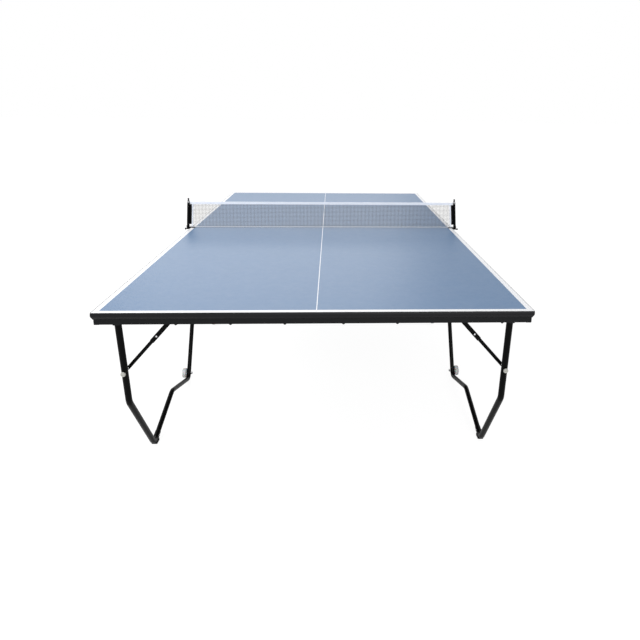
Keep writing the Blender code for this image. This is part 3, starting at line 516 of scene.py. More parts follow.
def bar(path, radius, ends=None, sides=ROUND):
    """A round bar along a path; ends are (along, radius) steps past its first and last point."""
    head, tail = ends or ([(0, radius)], [(0, radius)])
    tangents = []
    for i, _ in enumerate(path):
        before = path[max(i - 1, 0)]
        after = path[min(i + 1, len(path) - 1)]
        tangents.append((after - before).normalized())
    spokes = []
    across = tangents[0].orthogonal().normalized()
    for tangent in tangents:
        across = (across - tangent * across.dot(tangent)).normalized()
        spokes.append(across.copy())
    stations = [(path[0] - tangents[0] * along, 0, size) for along, size in reversed(head)]
    stations += [(point, i, radius) for i, point in enumerate(path)][1:-1]
    stations += [(path[-1] + tangents[-1] * along, -1, size) for along, size in tail]
    rings = []
    for point, index, size in stations:
        first = spokes[index]
        second = tangents[index].cross(first)
        rings.append([
            point + (first * math.cos(angle) + second * math.sin(angle)) * size
            for angle in angles(sides)
        ])
    return skin(rings)


def round_end(radius, softness):
    """The steps of an end whose rim is rounded over."""
    steps = []
    for i in range(5):
        angle = math.pi / 2 * i / 4
        along = softness * math.sin(angle) - softness
        steps.append((along, radius - softness + softness * math.cos(angle)))
    return steps


def block(low, high, rounding):
    """A box with all its edges rounded."""
    low = Vector(low)
    high = Vector(high)
    bm = bmesh.new()
    bmesh.ops.create_cube(bm, size=1.0)
    bmesh.ops.scale(bm, vec=high - low, verts=bm.verts)
    bmesh.ops.translate(bm, vec=(low + high) / 2, verts=bm.verts)
    bmesh.ops.bevel(
        bm, geom=bm.edges[:], offset=rounding, segments=2, profile=0.5, affect="EDGES",
    )
    return bm


def merged(*parts):
    """Several bmeshes as the shells of one piece."""
    whole = bmesh.new()
    for part in parts:
        mesh = bpy.data.meshes.new("part")
        part.to_mesh(mesh)
        part.free()
        whole.from_mesh(mesh)
        bpy.data.meshes.remove(mesh)
    return whole


def rounded_path(corners, radii):
    """Points along straight runs joined by arcs at the inner corners."""
    path = [corners[0]]
    for before, corner, after, radius in zip(corners, corners[1:], corners[2:], radii):
        back = (before - corner).normalized()
        ahead = (after - corner).normalized()
        half_angle = back.angle(ahead) / 2
        centre = corner + (back + ahead).normalized() * (radius / math.sin(half_angle))
        run = radius / math.tan(half_angle)
        start = (corner + back * run - centre).normalized()
        end = (corner + ahead * run - centre).normalized()
        for step in range(BEND_STEPS + 1):
            path.append(centre + start.slerp(end, step / BEND_STEPS) * radius)
    path.append(corners[-1])
    return path


def corner_name(side, end):
    return f"{'near' if end < 0 else 'far'}_{'right' if side > 0 else 'left'}"


def mirrored(bm, side, end):
    """The mesh for one corner: side +1 right, -1 left; end -1 near, +1 far."""
    copy = bm.copy()
    bmesh.ops.transform(copy, matrix=Matrix.Diagonal((side, -end, 1, 1)), verts=copy.verts)
    if side * -end < 0:
        bmesh.ops.reverse_faces(copy, faces=copy.faces[:])
    return copy


def add_piece(name, bm, finishes, body, replaced=()):
    """A named piece that rides on a body."""
    mesh = bpy.data.meshes.new(name)
    bm.to_mesh(mesh)
    bm.free()
    for surface in finishes if isinstance(finishes, list) else [finishes]:
        mesh.materials.append(surface)
    mesh.shade_smooth()
    mesh.set_sharp_from_angle(angle=SHARP_EDGE)
    piece = bpy.data.objects.new(name, mesh)
    bpy.context.scene.collection.objects.link(piece)
    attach(piece, body)
    if replaced:
        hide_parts(*replaced)
    return piece


def half_body(end):
    return "near_half" if end < 0 else "far_half"


def dress(node, surface):
    """A frame node keeps its shape and gets its finish."""
    part = frame["nodes"][node]
    if not part.data.materials:
        part.data.materials.append(surface)
    for place in part.material_slots:
        place.link = "OBJECT"
        place.material = surface


# ---------------------------------------------------------------- playing top
def build_board():
    """The near board as panels: paint, border lines, centre line, sides and underside."""
    xs = [BOARD_LOW.x, BOARD_LOW.x + LINE_WIDTH, -CENTRE_LINE_WIDTH / 2]
    xs += [-x for x in reversed(xs)]
    ys = [BOARD_LOW.y, BOARD_LOW.y + LINE_WIDTH, BOARD_HIGH.y]
    top, bottom = BOARD_HIGH.z, BOARD_LOW.z
    bm = bmesh.new()
    grid = [[bm.verts.new((x, y, top)) for x in xs] for y in ys]
    for row in range(len(ys) - 1):
        for column in range(len(xs) - 1):
            face = bm.faces.new((
                grid[row][column], grid[row][column + 1],
                grid[row + 1][column + 1], grid[row + 1][column],
            ))
            border = row == 0 or column in (0, len(xs) - 2)
            centre = column == 2
            face.material_index = 1 if border or centre else 0
    rim = grid[0] + [row[-1] for row in grid[1:]] + grid[-1][-2::-1] + [grid[1][0]]
    low = [bm.verts.new((vert.co.x, vert.co.y, bottom)) for vert in rim]
    count = len(rim)
    for i in range(count):
        j = (i + 1) % count
        side = bm.faces.new((rim[i], low[i], low[j], rim[j]))
        side.material_index = 1
    under = bm.faces.new(low[::-1])
    under.material_index = 2
    bmesh.ops.recalc_face_normals(bm, faces=bm.faces[:])
    return bm


def add_boards():
    for end in (-1, 1):
        half = "near" if end < 0 else "far"
        add_piece(
            f"playing_board_{half}", mirrored(build_board(), 1, end),
            [BLUE_PAINT, LINE_PAINT, UNDERSIDE], half_body(end), [f"board_{half}"],
        )


def build_moulding():
    """The moulding round a half: a soft bulge below the paint, sloping in to the rails."""
    foot = BAND_LOW.z
    top = BAND_HIGH.z
    profile = [
        (-3.5 * MM, top - 0.5 * MM),
        (-3.3 * MM, top - 0.1 * MM),
        (-1.8 * MM, top - 0.15 * MM),
        (-1.2 * MM, top - 1.2 * MM),
        (-0.7 * MM, top - 3.0 * MM),
        (-0.2 * MM, top - 5.8 * MM),
        (0.0, top - 8.5 * MM),
        (-0.1 * MM, foot + 4 * MM),
        (-0.6 * MM, foot + 1.5 * MM),
        (-2.4 * MM, foot - 1.6 * MM),
        (-5.6 * MM, foot - 6.0 * MM),
        (-7.4 * MM, foot - 8.4 * MM),
        (-8.1 * MM, foot - 9.2 * MM),
        (-8.1 * MM, foot - 0.8 * MM),
        (-3.5 * MM, foot - 0.5 * MM),
    ]
    stations = [(Vector((HALF_WIDTH, SPLIT_Y, 0)), Vector((1, 0, 0)))]
    for side in (1, -1):
        centre = Vector((side * (HALF_WIDTH - MOULDING_CORNER), END_Y + MOULDING_CORNER, 0))
        for step in range(MOULDING_CORNER_STEPS + 1):
            share = step / MOULDING_CORNER_STEPS if side > 0 else 1 - step / MOULDING_CORNER_STEPS
            angle = math.pi / 2 * share
            outward = Vector((side * math.cos(angle), -math.sin(angle), 0))
            stations.append((centre + outward * MOULDING_CORNER, outward))
    stations.append((Vector((-HALF_WIDTH, SPLIT_Y, 0)), Vector((-1, 0, 0))))
    rings = [
        [base + outward * out + Vector((0, 0, z)) for out, z in profile]
        for base, outward in stations
    ]
    reach = BOARD_HIGH.x
    strip_low = (-reach, SPLIT_Y - SPLIT_STRIP, foot)
    strip = block(strip_low, (reach, SPLIT_Y, top - 0.1 * MM), 0.2 * MM)
    return merged(skin(rings), strip)


def add_mouldings():
    moulding = build_moulding()
    for end in (-1, 1):
        half = "near" if end < 0 else "far"
        add_piece(
            f"edge_moulding_{half}", mirrored(moulding, 1, end), EDGE_PLASTIC, half_body(end),
            [f"edge_band_{half}"],
        )
    moulding.free()


def bolt_head(point, radius):
    """A washer and a hexagonal head, hanging from a point."""
    washer = lathe([
        (0.0, radius * 1.25),
        (0.9 * MM, radius * 1.25),
        (1.1 * MM, radius * 1.18),
    ], point, (0, 0, -1), 20)
    head = lathe([
        (1.0 * MM, radius * 0.96),
        (3.6 * MM, radius),
        (4.1 * MM, radius * 0.9),
        (4.3 * MM, radius * 0.6),
    ], point, (0, 0, -1), 6)
    return merged(washer, head)


def add_rail_bolts():
    """Bolts up through the rails along the ends and the sides."""
    below = SIDE_RAIL_LOW.z
    rail_x = (SIDE_RAIL_LOW.x + SIDE_RAIL_HIGH.x) / 2
    places = [(x, END_RAIL_LOW.y + END_BOLT_INSET) for x in END_BOLTS]
    for step in range(SIDE_BOLT_COUNT):
        y = -SIDE_BOLT_START - step * SIDE_BOLT_PITCH
        places += [(-rail_x, y), (rail_x, y)]
    for end in (-1, 1):
        heads = []
        for x, y in places:
            heads.append(bolt_head((x, y if end < 0 else -y, below), BOLT_RADIUS))
        half = "near" if end < 0 else "far"
        add_piece(f"rail_bolts_{half}", merged(*heads), RAIL_PAINT, half_body(end))


# ---------------------------------------------------------------- legs
def on_leg_plane(point):
    """A point of the flat leg outline moved onto the splayed plane of the leg frame."""
    slope = FOOT_SPREAD / (HINGE.z - FOOT_Z)
    return Vector((HINGE.x + (HINGE.z - point.z) * slope, point.y, point.z))


def corner_at_height(before, y, after, radius, height):
    """The corner whose arc comes down to a height."""
    corner = Vector((0, y, height))
    for _ in range(6):
        back = (before - corner).normalized()
        ahead = (after - corner).normalized()
        half_angle = back.angle(ahead) / 2
        centre = corner + (back + ahead).normalized() * (radius / math.sin(half_angle))
        corner.z += height - (centre.z - radius)
    return corner


FOOT = corner_at_height(KINK, END_Y + FOOT_FROM_END, APEX, FOOT_BEND, FOOT_Z)
WHEEL_CORNER = corner_at_height(APEX, END_Y + WHEEL_FROM_END, INNER_TOP, WHEEL_BEND, WHEEL_BEND_Z)
FOOT_AHEAD = (APEX - FOOT).normalized()


def beyond(point, away_from, distance):
    return point + (point - away_from).normalized() * distance


def build_outer_tube():
    """Top end, kink, foot elbow and a socket with a turned-in lip."""
    start = beyond(TOP, KINK, OVERRUN)
    end = FOOT + FOOT_AHEAD * SOCKET_FROM_FOOT
    path = [on_leg_plane(p) for p in rounded_path([start, KINK, FOOT, end], [KINK_BEND, FOOT_BEND])]
    bore = INNER_RADIUS + PLAY
    socket = [
        (-0.8 * MM, OUTER_RADIUS),
        (-0.3 * MM, OUTER_RADIUS - 0.15 * MM),
        (0.0, OUTER_RADIUS - 0.5 * MM),
        (0.0, bore + 0.2 * MM),
        (-0.5 * MM, bore),
        (-SOCKET_DEPTH, bore),
    ]
    return bar(path, OUTER_RADIUS, (round_end(OUTER_RADIUS, TUBE_END_ROUNDING), socket))


def build_inner_tube():
    """Spigot, apex, wheel bend and the run up to the hinge beside the net."""
    start = FOOT + FOOT_AHEAD * (SOCKET_FROM_FOOT - SOCKET_DEPTH + PLAY)
    end = beyond(INNER_TOP, WHEEL_CORNER, OVERRUN)
    path = rounded_path([start, APEX, WHEEL_CORNER, end], [APEX_BEND, WHEEL_BEND])
    soft = round_end(INNER_RADIUS, TUBE_END_ROUNDING)
    return bar([on_leg_plane(p) for p in path], INNER_RADIUS, (soft, soft))


def build_tube_plugs():
    """Domed plastic plugs in the two open top ends."""
    plugs = []
    for end, before, radius in ((TOP, KINK, OUTER_RADIUS), (INNER_TOP, WHEEL_CORNER, INNER_RADIUS)):
        point = on_leg_plane(beyond(end, before, OVERRUN))
        axis = point - on_leg_plane(beyond(end, before, 0))
        plugs.append(lathe([
            (0.0, radius - 2.0 * MM),
            (0.1 * MM, radius - 0.6 * MM),
            (1.2 * MM, radius - 0.5 * MM),
            (2.2 * MM, radius - 1.6 * MM),
            (2.9 * MM, radius - 4.5 * MM),
            (3.1 * MM, radius - 8.0 * MM),
        ], point, axis, ROUND))
    return merged(*plugs)


def rivet(point, axis, radius, height):
    return lathe([
        (-0.6 * MM, radius * 0.9),
        (0.0, radius),
        (height * 0.35, radius * 0.97),
        (height * 0.7, radius * 0.78),
        (height * 0.92, radius * 0.45),
        (height, radius * 0.12),
    ], point, axis, 20)


def build_leg_rivets():
    """The two heads of the rivet through the socket joint."""
    joint = on_leg_plane(FOOT + FOOT_AHEAD * (SOCKET_FROM_FOOT - SOCKET_RIVET_FROM_LIP))
    heads = []
    for side in (-1, 1):
        place = joint + Vector((side * OUTER_RADIUS, 0, 0))
        heads.append(rivet(place, (side, 0, 0), SOCKET_RIVET_RADIUS, 1.5 * MM))
    return merged(*heads)


def build_knob():
    """Fluted cap in front of the tube, the bolt through it and the nut behind."""
    depth = KNOB_HIGH.y - KNOB_LOW.y
    behind_tube = KNOB_LOW.y + KNOB_CAP_DEPTH + 2 * (OUTER_RADIUS + PLAY)
    centre = Vector(((KNOB_LOW.x + KNOB_HIGH.x) / 2, KNOB_LOW.y, (KNOB_LOW.z + KNOB_HIGH.z) / 2))
    radius = (KNOB_HIGH.z - KNOB_LOW.z) / 2
    profile = [
        (0.9 * MM, 0.05 * MM, 0.0),
        (0.9 * MM, radius * 0.26, 0.0),
        (0.2 * MM, radius * 0.34, 0.0),
        (0.0, radius * 0.5, 0.0),
        (0.3 * MM, radius * 0.72, 0.1),
        (1.2 * MM, radius * 0.90, 0.6),
        (2.6 * MM, radius * 1.0, 1.0),
        (6.0 * MM, radius * 1.0, 1.0),
        (6.8 * MM, radius * 0.94, 0.6),
        (7.0 * MM, radius * 0.76, 0.0),
        (8.8 * MM, radius * 0.66, 0.0),
        (8.9 * MM, 0.05 * MM, 0.0),
    ]
    rings = []
    for along, size, flute in profile:
        ring = []
        for angle in angles(KNOB_SIDES):
            cutting = FLUTE_DEPTH * flute * (0.5 - 0.5 * math.cos(KNOB_FLUTES * angle))
            spoke = Vector((math.cos(angle), 0, math.sin(angle))) * (size - cutting)
            ring.append(centre + Vector((0, along, 0)) + spoke)
        rings.append(ring)
    bolt = lathe([
        (KNOB_CAP_DEPTH - 1.0 * MM, KNOB_BOLT_RADIUS),
        (depth - 0.5 * MM, KNOB_BOLT_RADIUS),
        (depth, KNOB_BOLT_RADIUS - 0.5 * MM),
    ], centre, (0, 1, 0), 16)
    nut = lathe([
        (0.2 * MM, KNOB_NUT_RADIUS - 0.5 * MM),
        (0.4 * MM, KNOB_NUT_RADIUS),
        (2.5 * MM, KNOB_NUT_RADIUS),
        (2.9 * MM, KNOB_NUT_RADIUS - 0.6 * MM),
    ], (centre.x, behind_tube, centre.z), (0, 1, 0), 6)
    metal = merged(bolt, nut)
    for face in metal.faces:
        face.material_index = 1
    return merged(skin(rings), metal)


def build_wheel():
    """A moulded wheel: grooved tread, dished faces with six ribs, raised hub with a bore."""
    hub_half = (WHEEL_HIGH.x - WHEEL_LOW.x) / 2
    half = hub_half - HUB_PROUD
    radius = (WHEEL_HIGH.z - WHEEL_LOW.z) / 2
    rim = radius - WHEEL_RIM_DEPTH
    outline = [
        (hub_half, WHEEL_BORE),
        (hub_half, WHEEL_HUB - 0.6 * MM),
        (hub_half - 0.5 * MM, WHEEL_HUB),
        (WHEEL_WEB + 0.6 * MM, WHEEL_HUB + 0.6 * MM),
        (WHEEL_WEB, WHEEL_HUB + 1.6 * MM),
        (WHEEL_WEB, rim - 1.4 * MM),
        (WHEEL_WEB + 1.0 * MM, rim - 0.2 * MM),
        (half - 0.4 * MM, rim),
        (half, rim + 0.5 * MM),
        (half, radius - 3.0 * MM),
        (half - 0.9 * MM, radius - 1.0 * MM),
        (half - 2.6 * MM, radius - 0.1 * MM),
        (4.0 * MM, radius),
        (3.4 * MM, radius - 0.9 * MM),
        (2.4 * MM, radius - 0.9 * MM),
        (1.8 * MM, radius),
        (0.5 * MM, radius),
    ]
    outline += [(-along, size) for along, size in reversed(outline)]
    body = lathe(outline, AXLE, (1, 0, 0), 48, hollow=True)
    overlap = 0.5 * MM
    rib_low = Vector((1.0 * MM - half, -RIB_HALF_WIDTH, WHEEL_HUB - overlap))
    ribs = []
    for i in range(WHEEL_RIBS):
        rib = block(rib_low, (-rib_low.x, RIB_HALF_WIDTH, rim + overlap), 0.4 * MM)
        turn = Matrix.Rotation(math.tau * (i + 0.5) / WHEEL_RIBS, 4, "X")
        bmesh.ops.transform(rib, matrix=Matrix.Translation(AXLE) @ turn, verts=rib.verts)
        ribs.append(rib)
    return merged(body, *ribs)


def build_brace_rivets():
    """Rivet heads on the near face of the channel, by the knee and at the upper pivot."""
    by_knee = KNEE + (BRACE_TOP - KNEE).normalized() * KNEE_RIVET_FROM_KNEE
    heads = []
    for place, size in ((by_knee, KNEE_RIVET_RADIUS), (BRACE_TOP, TOP_RIVET_RADIUS)):
        heads.append(rivet((place.x, BRACE_LOW.y, place.z), (0, -1, 0), size, 1.6 * MM))
    return merged(*heads)


def add_leg_pieces():
    drawings = [
        ("leg_bar_outer", build_outer_tube(), TUBE_ENAMEL, "leg", "tube_steel", "leg_tube_outer"),
        ("leg_bar_inner", build_inner_tube(), TUBE_ENAMEL, "leg", "tube_steel", "leg_tube_inner"),
        ("tube_plugs", build_tube_plugs(), PLUG_PLASTIC, "leg", "foot_rubber", None),
        ("socket_rivets", build_leg_rivets(), ZINC, "leg", "bright_steel", None),
        ("fluted_knob", build_knob(), [KNOB_PLASTIC, ZINC], "leg", "knob_plastic", "brace_knob"),
        ("ribbed_wheel", build_wheel(), WHEEL_NYLON, "roller", "wheel_plastic", "wheel"),
        ("brace_rivets", build_brace_rivets(), ZINC, "upper_link", "bright_steel", None),
    ]
    for name, drawing, surface, body, slot, node in drawings:
        for side, end in CORNERS:
            corner = corner_name(side, end)
            add_piece(
                f"{name}_{corner}", mirrored(drawing, side, end), surface, f"{body}_{corner}",
                [f"{node}_{corner}"] if node else (),
            )
        drawing.free()


add_boards()
add_mouldings()
add_rail_bolts()
add_leg_pieces()

# ---------------------------------------------------------------- frame nodes
for half in ("near", "far"):
    for rail in ("end_rail", "net_rail"):
        dress(f"{rail}_{half}", RAIL_PAINT)
for side, end in CORNERS:
    corner = corner_name(side, end)
    for node in ("side_rail", "hinge_bracket_outer", "hinge_bracket_inner"):
        dress(f"{node}_{corner}", RAIL_PAINT)
    for node in ("brace_upper", "brace_lower"):
        dress(f"{node}_{corner}", TUBE_ENAMEL)
    dress(f"foot_pad_{corner}", FOOT_RUBBER)
    dress(f"wheel_axle_{corner}", ZINC)
for hand in ("left", "right"):
    dress(f"net_post_{hand}", POST_ENAMEL)
    dress(f"centre_latch_{hand}", ZINC)


# ---------------------------------------------------------------- net
def waves(x, parts):
    """A sum of sine waves along the net, each of a height, a rate and a phase."""
    return sum(height * math.sin(x * rate + phase) for height, rate, phase in parts)


def net_sway(x, z):
    """How far the netting hangs off its plane, least along its tape and its foot."""
    level = (z - NET_LOW.z) / (NET_HIGH.z - NET_LOW.z)
    free = math.sin(math.pi * min(max(level, 0.0), 1.0) * 0.85 + 0.15)
    return free * waves(x, NET_WAVES)


def lean_at(z):
    """How far outboard of its top the leaning post and its bar stand at a height."""
    return POST_LEAN * (TAPE_HIGH.z - z) / (TAPE_HIGH.z - BOARD_HIGH.z)


def tape_sway(x):
    return waves(x, TAPE_WAVES)


def tape_flare(x):
    """How far the two layers of the tape stand apart at their lower edge."""
    return waves(x, FLARE_WAVES)


def tape_sag(x):
    return -TAPE_SAG * (1 - (x / TAPE_HIGH.x) ** 2)


def build_netting():
    """A lattice of knotted squares between the two leaning bars."""
    width = NET_HIGH.x - BINDING_WIDTH / 2
    columns = round(2 * width / NET_PITCH)
    rows = round((NET_HIGH.z - NET_LOW.z) / NET_PITCH)
    bm = bmesh.new()
    grid = []
    for row in range(rows + 1):
        z = NET_LOW.z + NET_THREAD / 2 + (NET_HIGH.z - NET_LOW.z - NET_THREAD) * row / rows
        reach = width + lean_at(z)
        line = []
        for column in range(columns + 1):
            x = reach * (2 * column / columns - 1)
            line.append(bm.verts.new((x, net_sway(x, z), z)))
        grid.append(line)
    for row in range(rows):
        for column in range(columns):
            bm.faces.new((
                grid[row][column], grid[row][column + 1],
                grid[row + 1][column + 1], grid[row + 1][column],
            ))
    return bm


def build_tape():
    """The band folded over the headline: two layers, open below, round on top."""
    outer = TAPE_HALF_THICKNESS
    inner = outer - TAPE_LAYER
    middle = outer - TAPE_LAYER / 2
    top = TAPE_HIGH.z
    bottom = TAPE_LOW.z
    steps = 240
    rings = []
    for step in range(steps + 1):
        x = TAPE_LOW.x + (TAPE_HIGH.x - TAPE_LOW.x) * step / steps
        flare = tape_flare(x)
        outline = []
        for i in range(9):
            angle = math.pi * i / 8
            outline.append((outer * math.cos(angle), top - outer + outer * math.sin(angle)))
        outline.append((-outer - flare, bottom + TAPE_LIP))
        outline.append((-middle - flare, bottom))
        outline.append((-inner - flare, bottom + TAPE_LIP))
        for i in range(5):
            angle = math.pi - math.pi * i / 4
            outline.append((inner * math.cos(angle), top - outer + inner * math.sin(angle)))
        outline.append((inner + flare, bottom + TAPE_LIP))
        outline.append((middle + flare, bottom))
        outline.append((outer + flare, bottom + TAPE_LIP))
        sway = tape_sway(x)
        sag = tape_sag(x)
        rings.append([Vector((x, sway + y, z + sag)) for y, z in outline])
    return skin(rings)


def build_stitches():
    """Two rows of thread stitches along both faces of the tape."""
    whole = bmesh.new()
    count = int((TAPE_HIGH.x - TAPE_LOW.x - 2 * STITCH_END) / STITCH_PITCH)
    for i in range(count):
        x = TAPE_LOW.x + STITCH_END + (i + 0.5) * STITCH_PITCH
        z = TAPE_LOW.z + 2.4 * MM + tape_sag(x)
        for face in (-1, 1):
            y = tape_sway(x) + face * (TAPE_HALF_THICKNESS + 0.05 * MM + 0.8 * tape_flare(x))
            placed = Matrix.Translation((x, y, z)) @ Matrix.Diagonal(STITCH_SIZE)
            bmesh.ops.create_icosphere(whole, subdivisions=1, radius=1.0, matrix=placed)
    return whole


def build_binding():
    """The folded tape down the net's right-hand end, beside the bar."""
    rings = []
    steps = 24
    low = NET_LOW.z + 0.3 * MM
    high = NET_HIGH.z + 1.0 * MM
    for step in range(steps + 1):
        z = low + (high - low) * step / steps
        edge = NET_HIGH.x + lean_at(z) - 0.2 * MM
        wave = 0.3 * MM * math.sin(step * 1.3)
        middle = Vector((edge - BINDING_WIDTH / 2, net_sway(edge, z), z))
        ring = []
        for angle in angles(16):
            across = math.copysign(abs(math.cos(angle)) ** 0.5, math.cos(angle))
            through = math.copysign(abs(math.sin(angle)) ** 0.7, math.sin(angle))
            out = (BINDING_WIDTH / 2) * across + (wave if across < 0 else 0)
            ring.append(middle + Vector((out, BINDING_HALF_THICKNESS * through, 0)))
        rings.append(ring)
    return skin(rings)


def tie_loop(centre_x, z, radius, reach):
    """One closed turn of cord round an upright, drawn out on the net's side."""
    middle = Vector((centre_x + lean_at(z), 0, z))
    loop = radius + TIE_LIFT
    rings = []
    for angle in angles(28):
        inward = max(0.0, -math.cos(angle)) ** 2 * reach
        centre = middle + Vector((
            loop * math.cos(angle) - inward, loop * math.sin(angle), 0.5 * MM * math.sin(angle)
        ))
        out = Vector((math.cos(angle), math.sin(angle), 0))
        rings.append([
            centre + (out * math.cos(turn) + Vector((0, 0, 1)) * math.sin(turn)) * TIE_THREAD
            for turn in angles(8)
        ])
    return skin(rings, looped=True)


def build_knot(middle):
    """A small uneven lump of cord."""
    lump = bmesh.new()
    bmesh.ops.create_icosphere(lump, subdivisions=3, radius=1.0)
    for vert in lump.verts:
        x, y, z = vert.co
        vert.co *= 1 + 0.16 * math.sin(5 * x + 2 * z) * math.cos(4 * z)
        vert.co = middle + Vector(vert.co[axis] * KNOT_SIZE[axis] for axis in range(3))
    return lump


def build_ties():
    """A loop round the post, one round the bar's foot, and a knot with its two tails."""
    knot = Vector((TAPE_HIGH.x - 2.0 * MM, -3.4 * MM, TAPE_HIGH.z - 5.5 * MM))
    cords = [
        tie_loop(TAPE_HIGH.x + PLAY + POST_RADIUS, TAPE_HIGH.z - 5 * MM, POST_RADIUS, 3.6 * MM),
        tie_loop(NET_HIGH.x + PLAY + BAR_RADIUS, NET_LOW.z + 4 * MM, BAR_RADIUS, 5.0 * MM),
        build_knot(knot),
    ]
    steps = 8
    for lean, drop in ((-0.55, 12 * MM), (-0.15, 9 * MM)):
        tail = []
        for i in range(steps + 1):
            share = i / steps
            bow = -1.2 * MM * math.sin(math.pi * share)
            tail.append(knot + Vector((lean * drop * share, bow, -drop * share)))
        cords.append(bar(tail, TIE_THREAD, sides=10))
    return merged(*cords)


def build_foot_cord():
    """The cord along the net's lower edge."""
    z = NET_LOW.z + CORD_RADIUS + PLAY
    reach = NET_HIGH.x + lean_at(z) - BINDING_WIDTH / 2
    steps = 180
    path = []
    for step in range(steps + 1):
        x = reach * (2 * step / steps - 1)
        path.append(Vector((x, net_sway(x, z), z + waves(x, CORD_WAVES))))
    return bar(path, CORD_RADIUS, sides=10)


def build_post_ring():
    """The moulded ring round the top of a post."""
    return lathe([
        (-1.0 * MM, POST_RADIUS + 0.3 * MM),
        (-0.8 * MM, POST_RADIUS + 0.9 * MM),
        (0.9 * MM, POST_RADIUS + 0.9 * MM),
        (1.4 * MM, POST_RADIUS + 0.2 * MM),
        (1.7 * MM, 6.0 * MM),
    ], (POST_CENTRE_X, 0, POST_TOP_Z), (0, 0, 1), 28)


def build_post_spindle():
    """The tapered spindle that the net's cord is wound on."""
    return lathe([
        (1.4 * MM, 6.2 * MM),
        (2.0 * MM, 6.0 * MM),
        (5.0 * MM, 5.0 * MM),
        (9.0 * MM, 4.2 * MM),
        (13.0 * MM, 4.0 * MM),
        (15.5 * MM, 5.0 * MM),
        (17.4 * MM, 4.7 * MM),
        (18.4 * MM, 3.4 * MM),
        (18.6 * MM, 1.4 * MM),
    ], (POST_CENTRE_X, 0, POST_TOP_Z), (0, 0, 1), 28)


def build_clamp_screw():
    """Swivel pad, threaded rod and a lobed grip."""
    x = (SCREW_LOW.x + SCREW_HIGH.x) / 2
    low = SCREW_LOW.z
    height = SCREW_HIGH.z - low
    thread_end = height - 4 * MM
    profile = [
        (0.0, 0.3 * MM),
        (0.0, 3.4 * MM),
        (0.3 * MM, 3.9 * MM),
        (GRIP_HEIGHT, 3.4 * MM),
    ]
    for turn in range(int((thread_end - GRIP_HEIGHT) / THREAD_PITCH)):
        z = GRIP_HEIGHT + turn * THREAD_PITCH
        for rise, radius in THREAD_FORM:
            profile.append((z + rise, radius))
    profile += [
        (thread_end, 3.4 * MM),
        (thread_end + 0.1 * MM, 6.6 * MM),
        (thread_end + 0.9 * MM, 7.8 * MM),
        (height - 0.5 * MM, 7.9 * MM),
        (height, 7.4 * MM),
    ]
    rod = lathe(profile, (x, 0, low), (0, 0, 1), 24)
    for face in rod.faces:
        face.material_index = 1
    grip_radius = (SCREW_HIGH.x - SCREW_LOW.x) / 2
    rings = []
    for along, size, lobe in (
        (0.2, 0.78, 0.6), (0.6, 0.92, 1.0), (1.6, 1.0, 1.0), (7.8, 1.0, 1.0), (9.0, 0.9, 1.0),
        (9.7, 0.62, 0.4), (9.9, 0.45, 0.0),
    ):
        ring = []
        for angle in angles(64):
            cutting = lobe * LOBE_DEPTH * (0.5 - 0.5 * math.cos(GRIP_LOBES * angle))
            reach = grip_radius * size - cutting
            spoke = Vector((math.cos(angle), math.sin(angle), 0)) * reach
            ring.append(Vector((x, 0, low + along * MM)) + spoke)
        rings.append(ring)
    return merged(skin(rings), rod)


netting = add_piece("netting", build_netting(), NET_THREAD_FINISH, "near_half", ["net"])
threads = netting.modifiers.new("threads", "WIREFRAME")
threads.thickness = NET_THREAD / LATTICE_SHARE
threads.use_even_offset = False
tape = add_piece("net_tape", build_tape(), TAPE_COTTON, "near_half", ["net_top_tape"])
trims = [
    add_piece("tape_stitching", build_stitches(), TIE_COTTON, "near_half"),
    add_piece("net_foot_cord", build_foot_cord(), TIE_COTTON, "near_half"),
]
for hand, side in (("left", -1), ("right", 1)):
    for name, drawing, surface in (
        ("net_binding", build_binding(), TAPE_COTTON), ("net_ties", build_ties(), TIE_COTTON),
    ):
        piece = mirrored(drawing, side, -1)
        trims.append(add_piece(f"{name}_{hand}", piece, surface, "near_half"))
    ring = mirrored(build_post_ring(), side, -1)
    add_piece(f"post_ring_{hand}", ring, CAP_PLASTIC, "near_half")
    spindle = mirrored(build_post_spindle(), side, -1)
    add_piece(f"post_spindle_{hand}", spindle, BLACKED_STEEL, "near_half")
    add_piece(
        f"clamp_thumbscrew_{hand}", mirrored(build_clamp_screw(), side, -1),
        [PLUG_PLASTIC, ZINC], f"screw_{hand}", [f"clamp_screw_{hand}"],
    )


# ---------------------------------------------------------------- studio
WHITE = (1, 1, 1, 1)
FLOOR_HALF_SIZE = 60.0
FLOOR_LIFT = 0.80
FLOOR_IN_GLOSS = 0.45
FLOOR_STRENGTH = 1.16
WORLD_LIGHT = 0.55
CAMERA_PLACE = (0.0525, -3.1527, 1.4432)
CAMERA_YAW = 0.0472046
CAMERA_PITCH = 0.2320146
CAMERA_ROLL = 0.0123
CAMERA_LENS = 30.83
CAMERA_SHIFT = (-0.0578, -0.1279)


def stage_material():
    """Pale floor: lit by the lamps, lifted to white for what looks at it."""
    made, tree, shader = blank_material("pale floor")
    tree.nodes.remove(shader)
    paths = new_node(tree, "ShaderNodeLightPath").outputs
    seen = math_node(tree, "MAXIMUM", paths["Is Camera Ray"], paths["Is Transmission Ray"])
    in_gloss = math_node(tree, "MULTIPLY", paths["Is Glossy Ray"], FLOOR_IN_GLOSS)
    seen = math_node(tree, "MAXIMUM", seen, in_gloss)
    share = math_node(tree, "MULTIPLY", seen, FLOOR_LIFT)
    matt = new_node(tree, "ShaderNodeBsdfDiffuse", {"Color": display(236, 236, 236)})
    glow = new_node(tree, "ShaderNodeEmission", {"Color": WHITE, "Strength": FLOOR_STRENGTH})
    blend = new_node(tree, "ShaderNodeMixShader", {0: share})
    tree.links.new(matt.outputs[0], blend.inputs[1])
    tree.links.new(glow.outputs[0], blend.inputs[2])
    tree.links.new(blend.outputs[0], tree.nodes["Material Output"].inputs["Surface"])
    return made


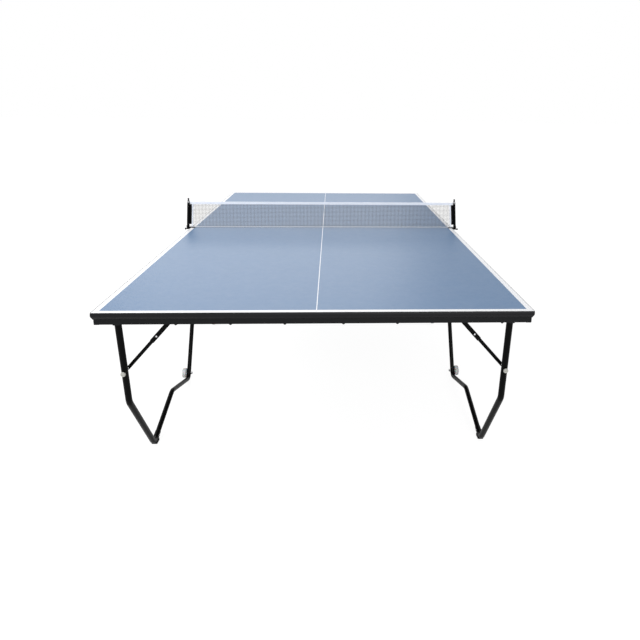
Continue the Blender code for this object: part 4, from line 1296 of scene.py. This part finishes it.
def add_floor():
    bm = bmesh.new()
    bmesh.ops.create_grid(bm, x_segments=1, y_segments=1, size=FLOOR_HALF_SIZE)
    mesh = bpy.data.meshes.new("floor")
    bm.to_mesh(mesh)
    bm.free()
    mesh.materials.append(stage_material())
    floor = bpy.data.objects.new("floor", mesh)
    bpy.context.scene.collection.objects.link(floor)


def add_world():
    world = bpy.data.worlds.new("studio")
    bpy.context.scene.world = world
    world.use_nodes = True
    tree = world.node_tree
    paths = new_node(tree, "ShaderNodeLightPath").outputs
    seen = math_node(tree, "MAXIMUM", paths["Is Camera Ray"], paths["Is Glossy Ray"])
    seen = math_node(tree, "MAXIMUM", seen, paths["Is Transmission Ray"])
    strength = new_node(
        tree, "ShaderNodeMapRange", {"Value": seen, "To Min": WORLD_LIGHT, "To Max": 1.0}
    ).outputs["Result"]
    tree.links.new(strength, tree.nodes["Background"].inputs["Strength"])
    tree.nodes["Background"].inputs["Color"].default_value = WHITE


def add_softbox(name, place, target, width, height, power):
    data = bpy.data.lights.new(name, "AREA")
    data.shape = "RECTANGLE"
    data.size = width
    data.size_y = height
    data.energy = power
    lamp = bpy.data.objects.new(name, data)
    bpy.context.scene.collection.objects.link(lamp)
    lamp.location = place
    aim = Vector(target) - Vector(place)
    lamp.rotation_euler = aim.to_track_quat("-Z", "Y").to_euler()
    lamp.visible_camera = False


def add_camera():
    """The view along the table, from a little to the right of its middle."""
    ahead = Vector((math.sin(CAMERA_YAW), math.cos(CAMERA_YAW), 0))
    forward = ahead * math.cos(CAMERA_PITCH) - Vector((0, 0, math.sin(CAMERA_PITCH)))
    level = Vector((math.cos(CAMERA_YAW), -math.sin(CAMERA_YAW), 0))
    upward = level.cross(forward)
    right = level * math.cos(CAMERA_ROLL) + upward * math.sin(CAMERA_ROLL)
    up = upward * math.cos(CAMERA_ROLL) - level * math.sin(CAMERA_ROLL)
    data = bpy.data.cameras.new("camera")
    data.lens = CAMERA_LENS
    data.shift_x, data.shift_y = CAMERA_SHIFT
    camera = bpy.data.objects.new("camera", data)
    bpy.context.scene.collection.objects.link(camera)
    turn = Matrix((right, up, -forward)).transposed().to_4x4()
    camera.matrix_world = Matrix.Translation(CAMERA_PLACE) @ turn
    bpy.context.scene.camera = camera


add_floor()
add_world()
add_softbox("key", (-3.2, -1.5, 3.6), (0, 0, 0.5), width=2.5, height=2.5, power=110)
add_softbox("front", (0.8, -5.0, 1.9), (0, 0, 0.7), width=3.0, height=2.4, power=90)
add_softbox("back", (-0.95, 4.6, 2.95), (0, 0, 0.7), width=4.6, height=1.3, power=62)
add_camera()
bpy.context.scene.view_settings.view_transform = "Standard"
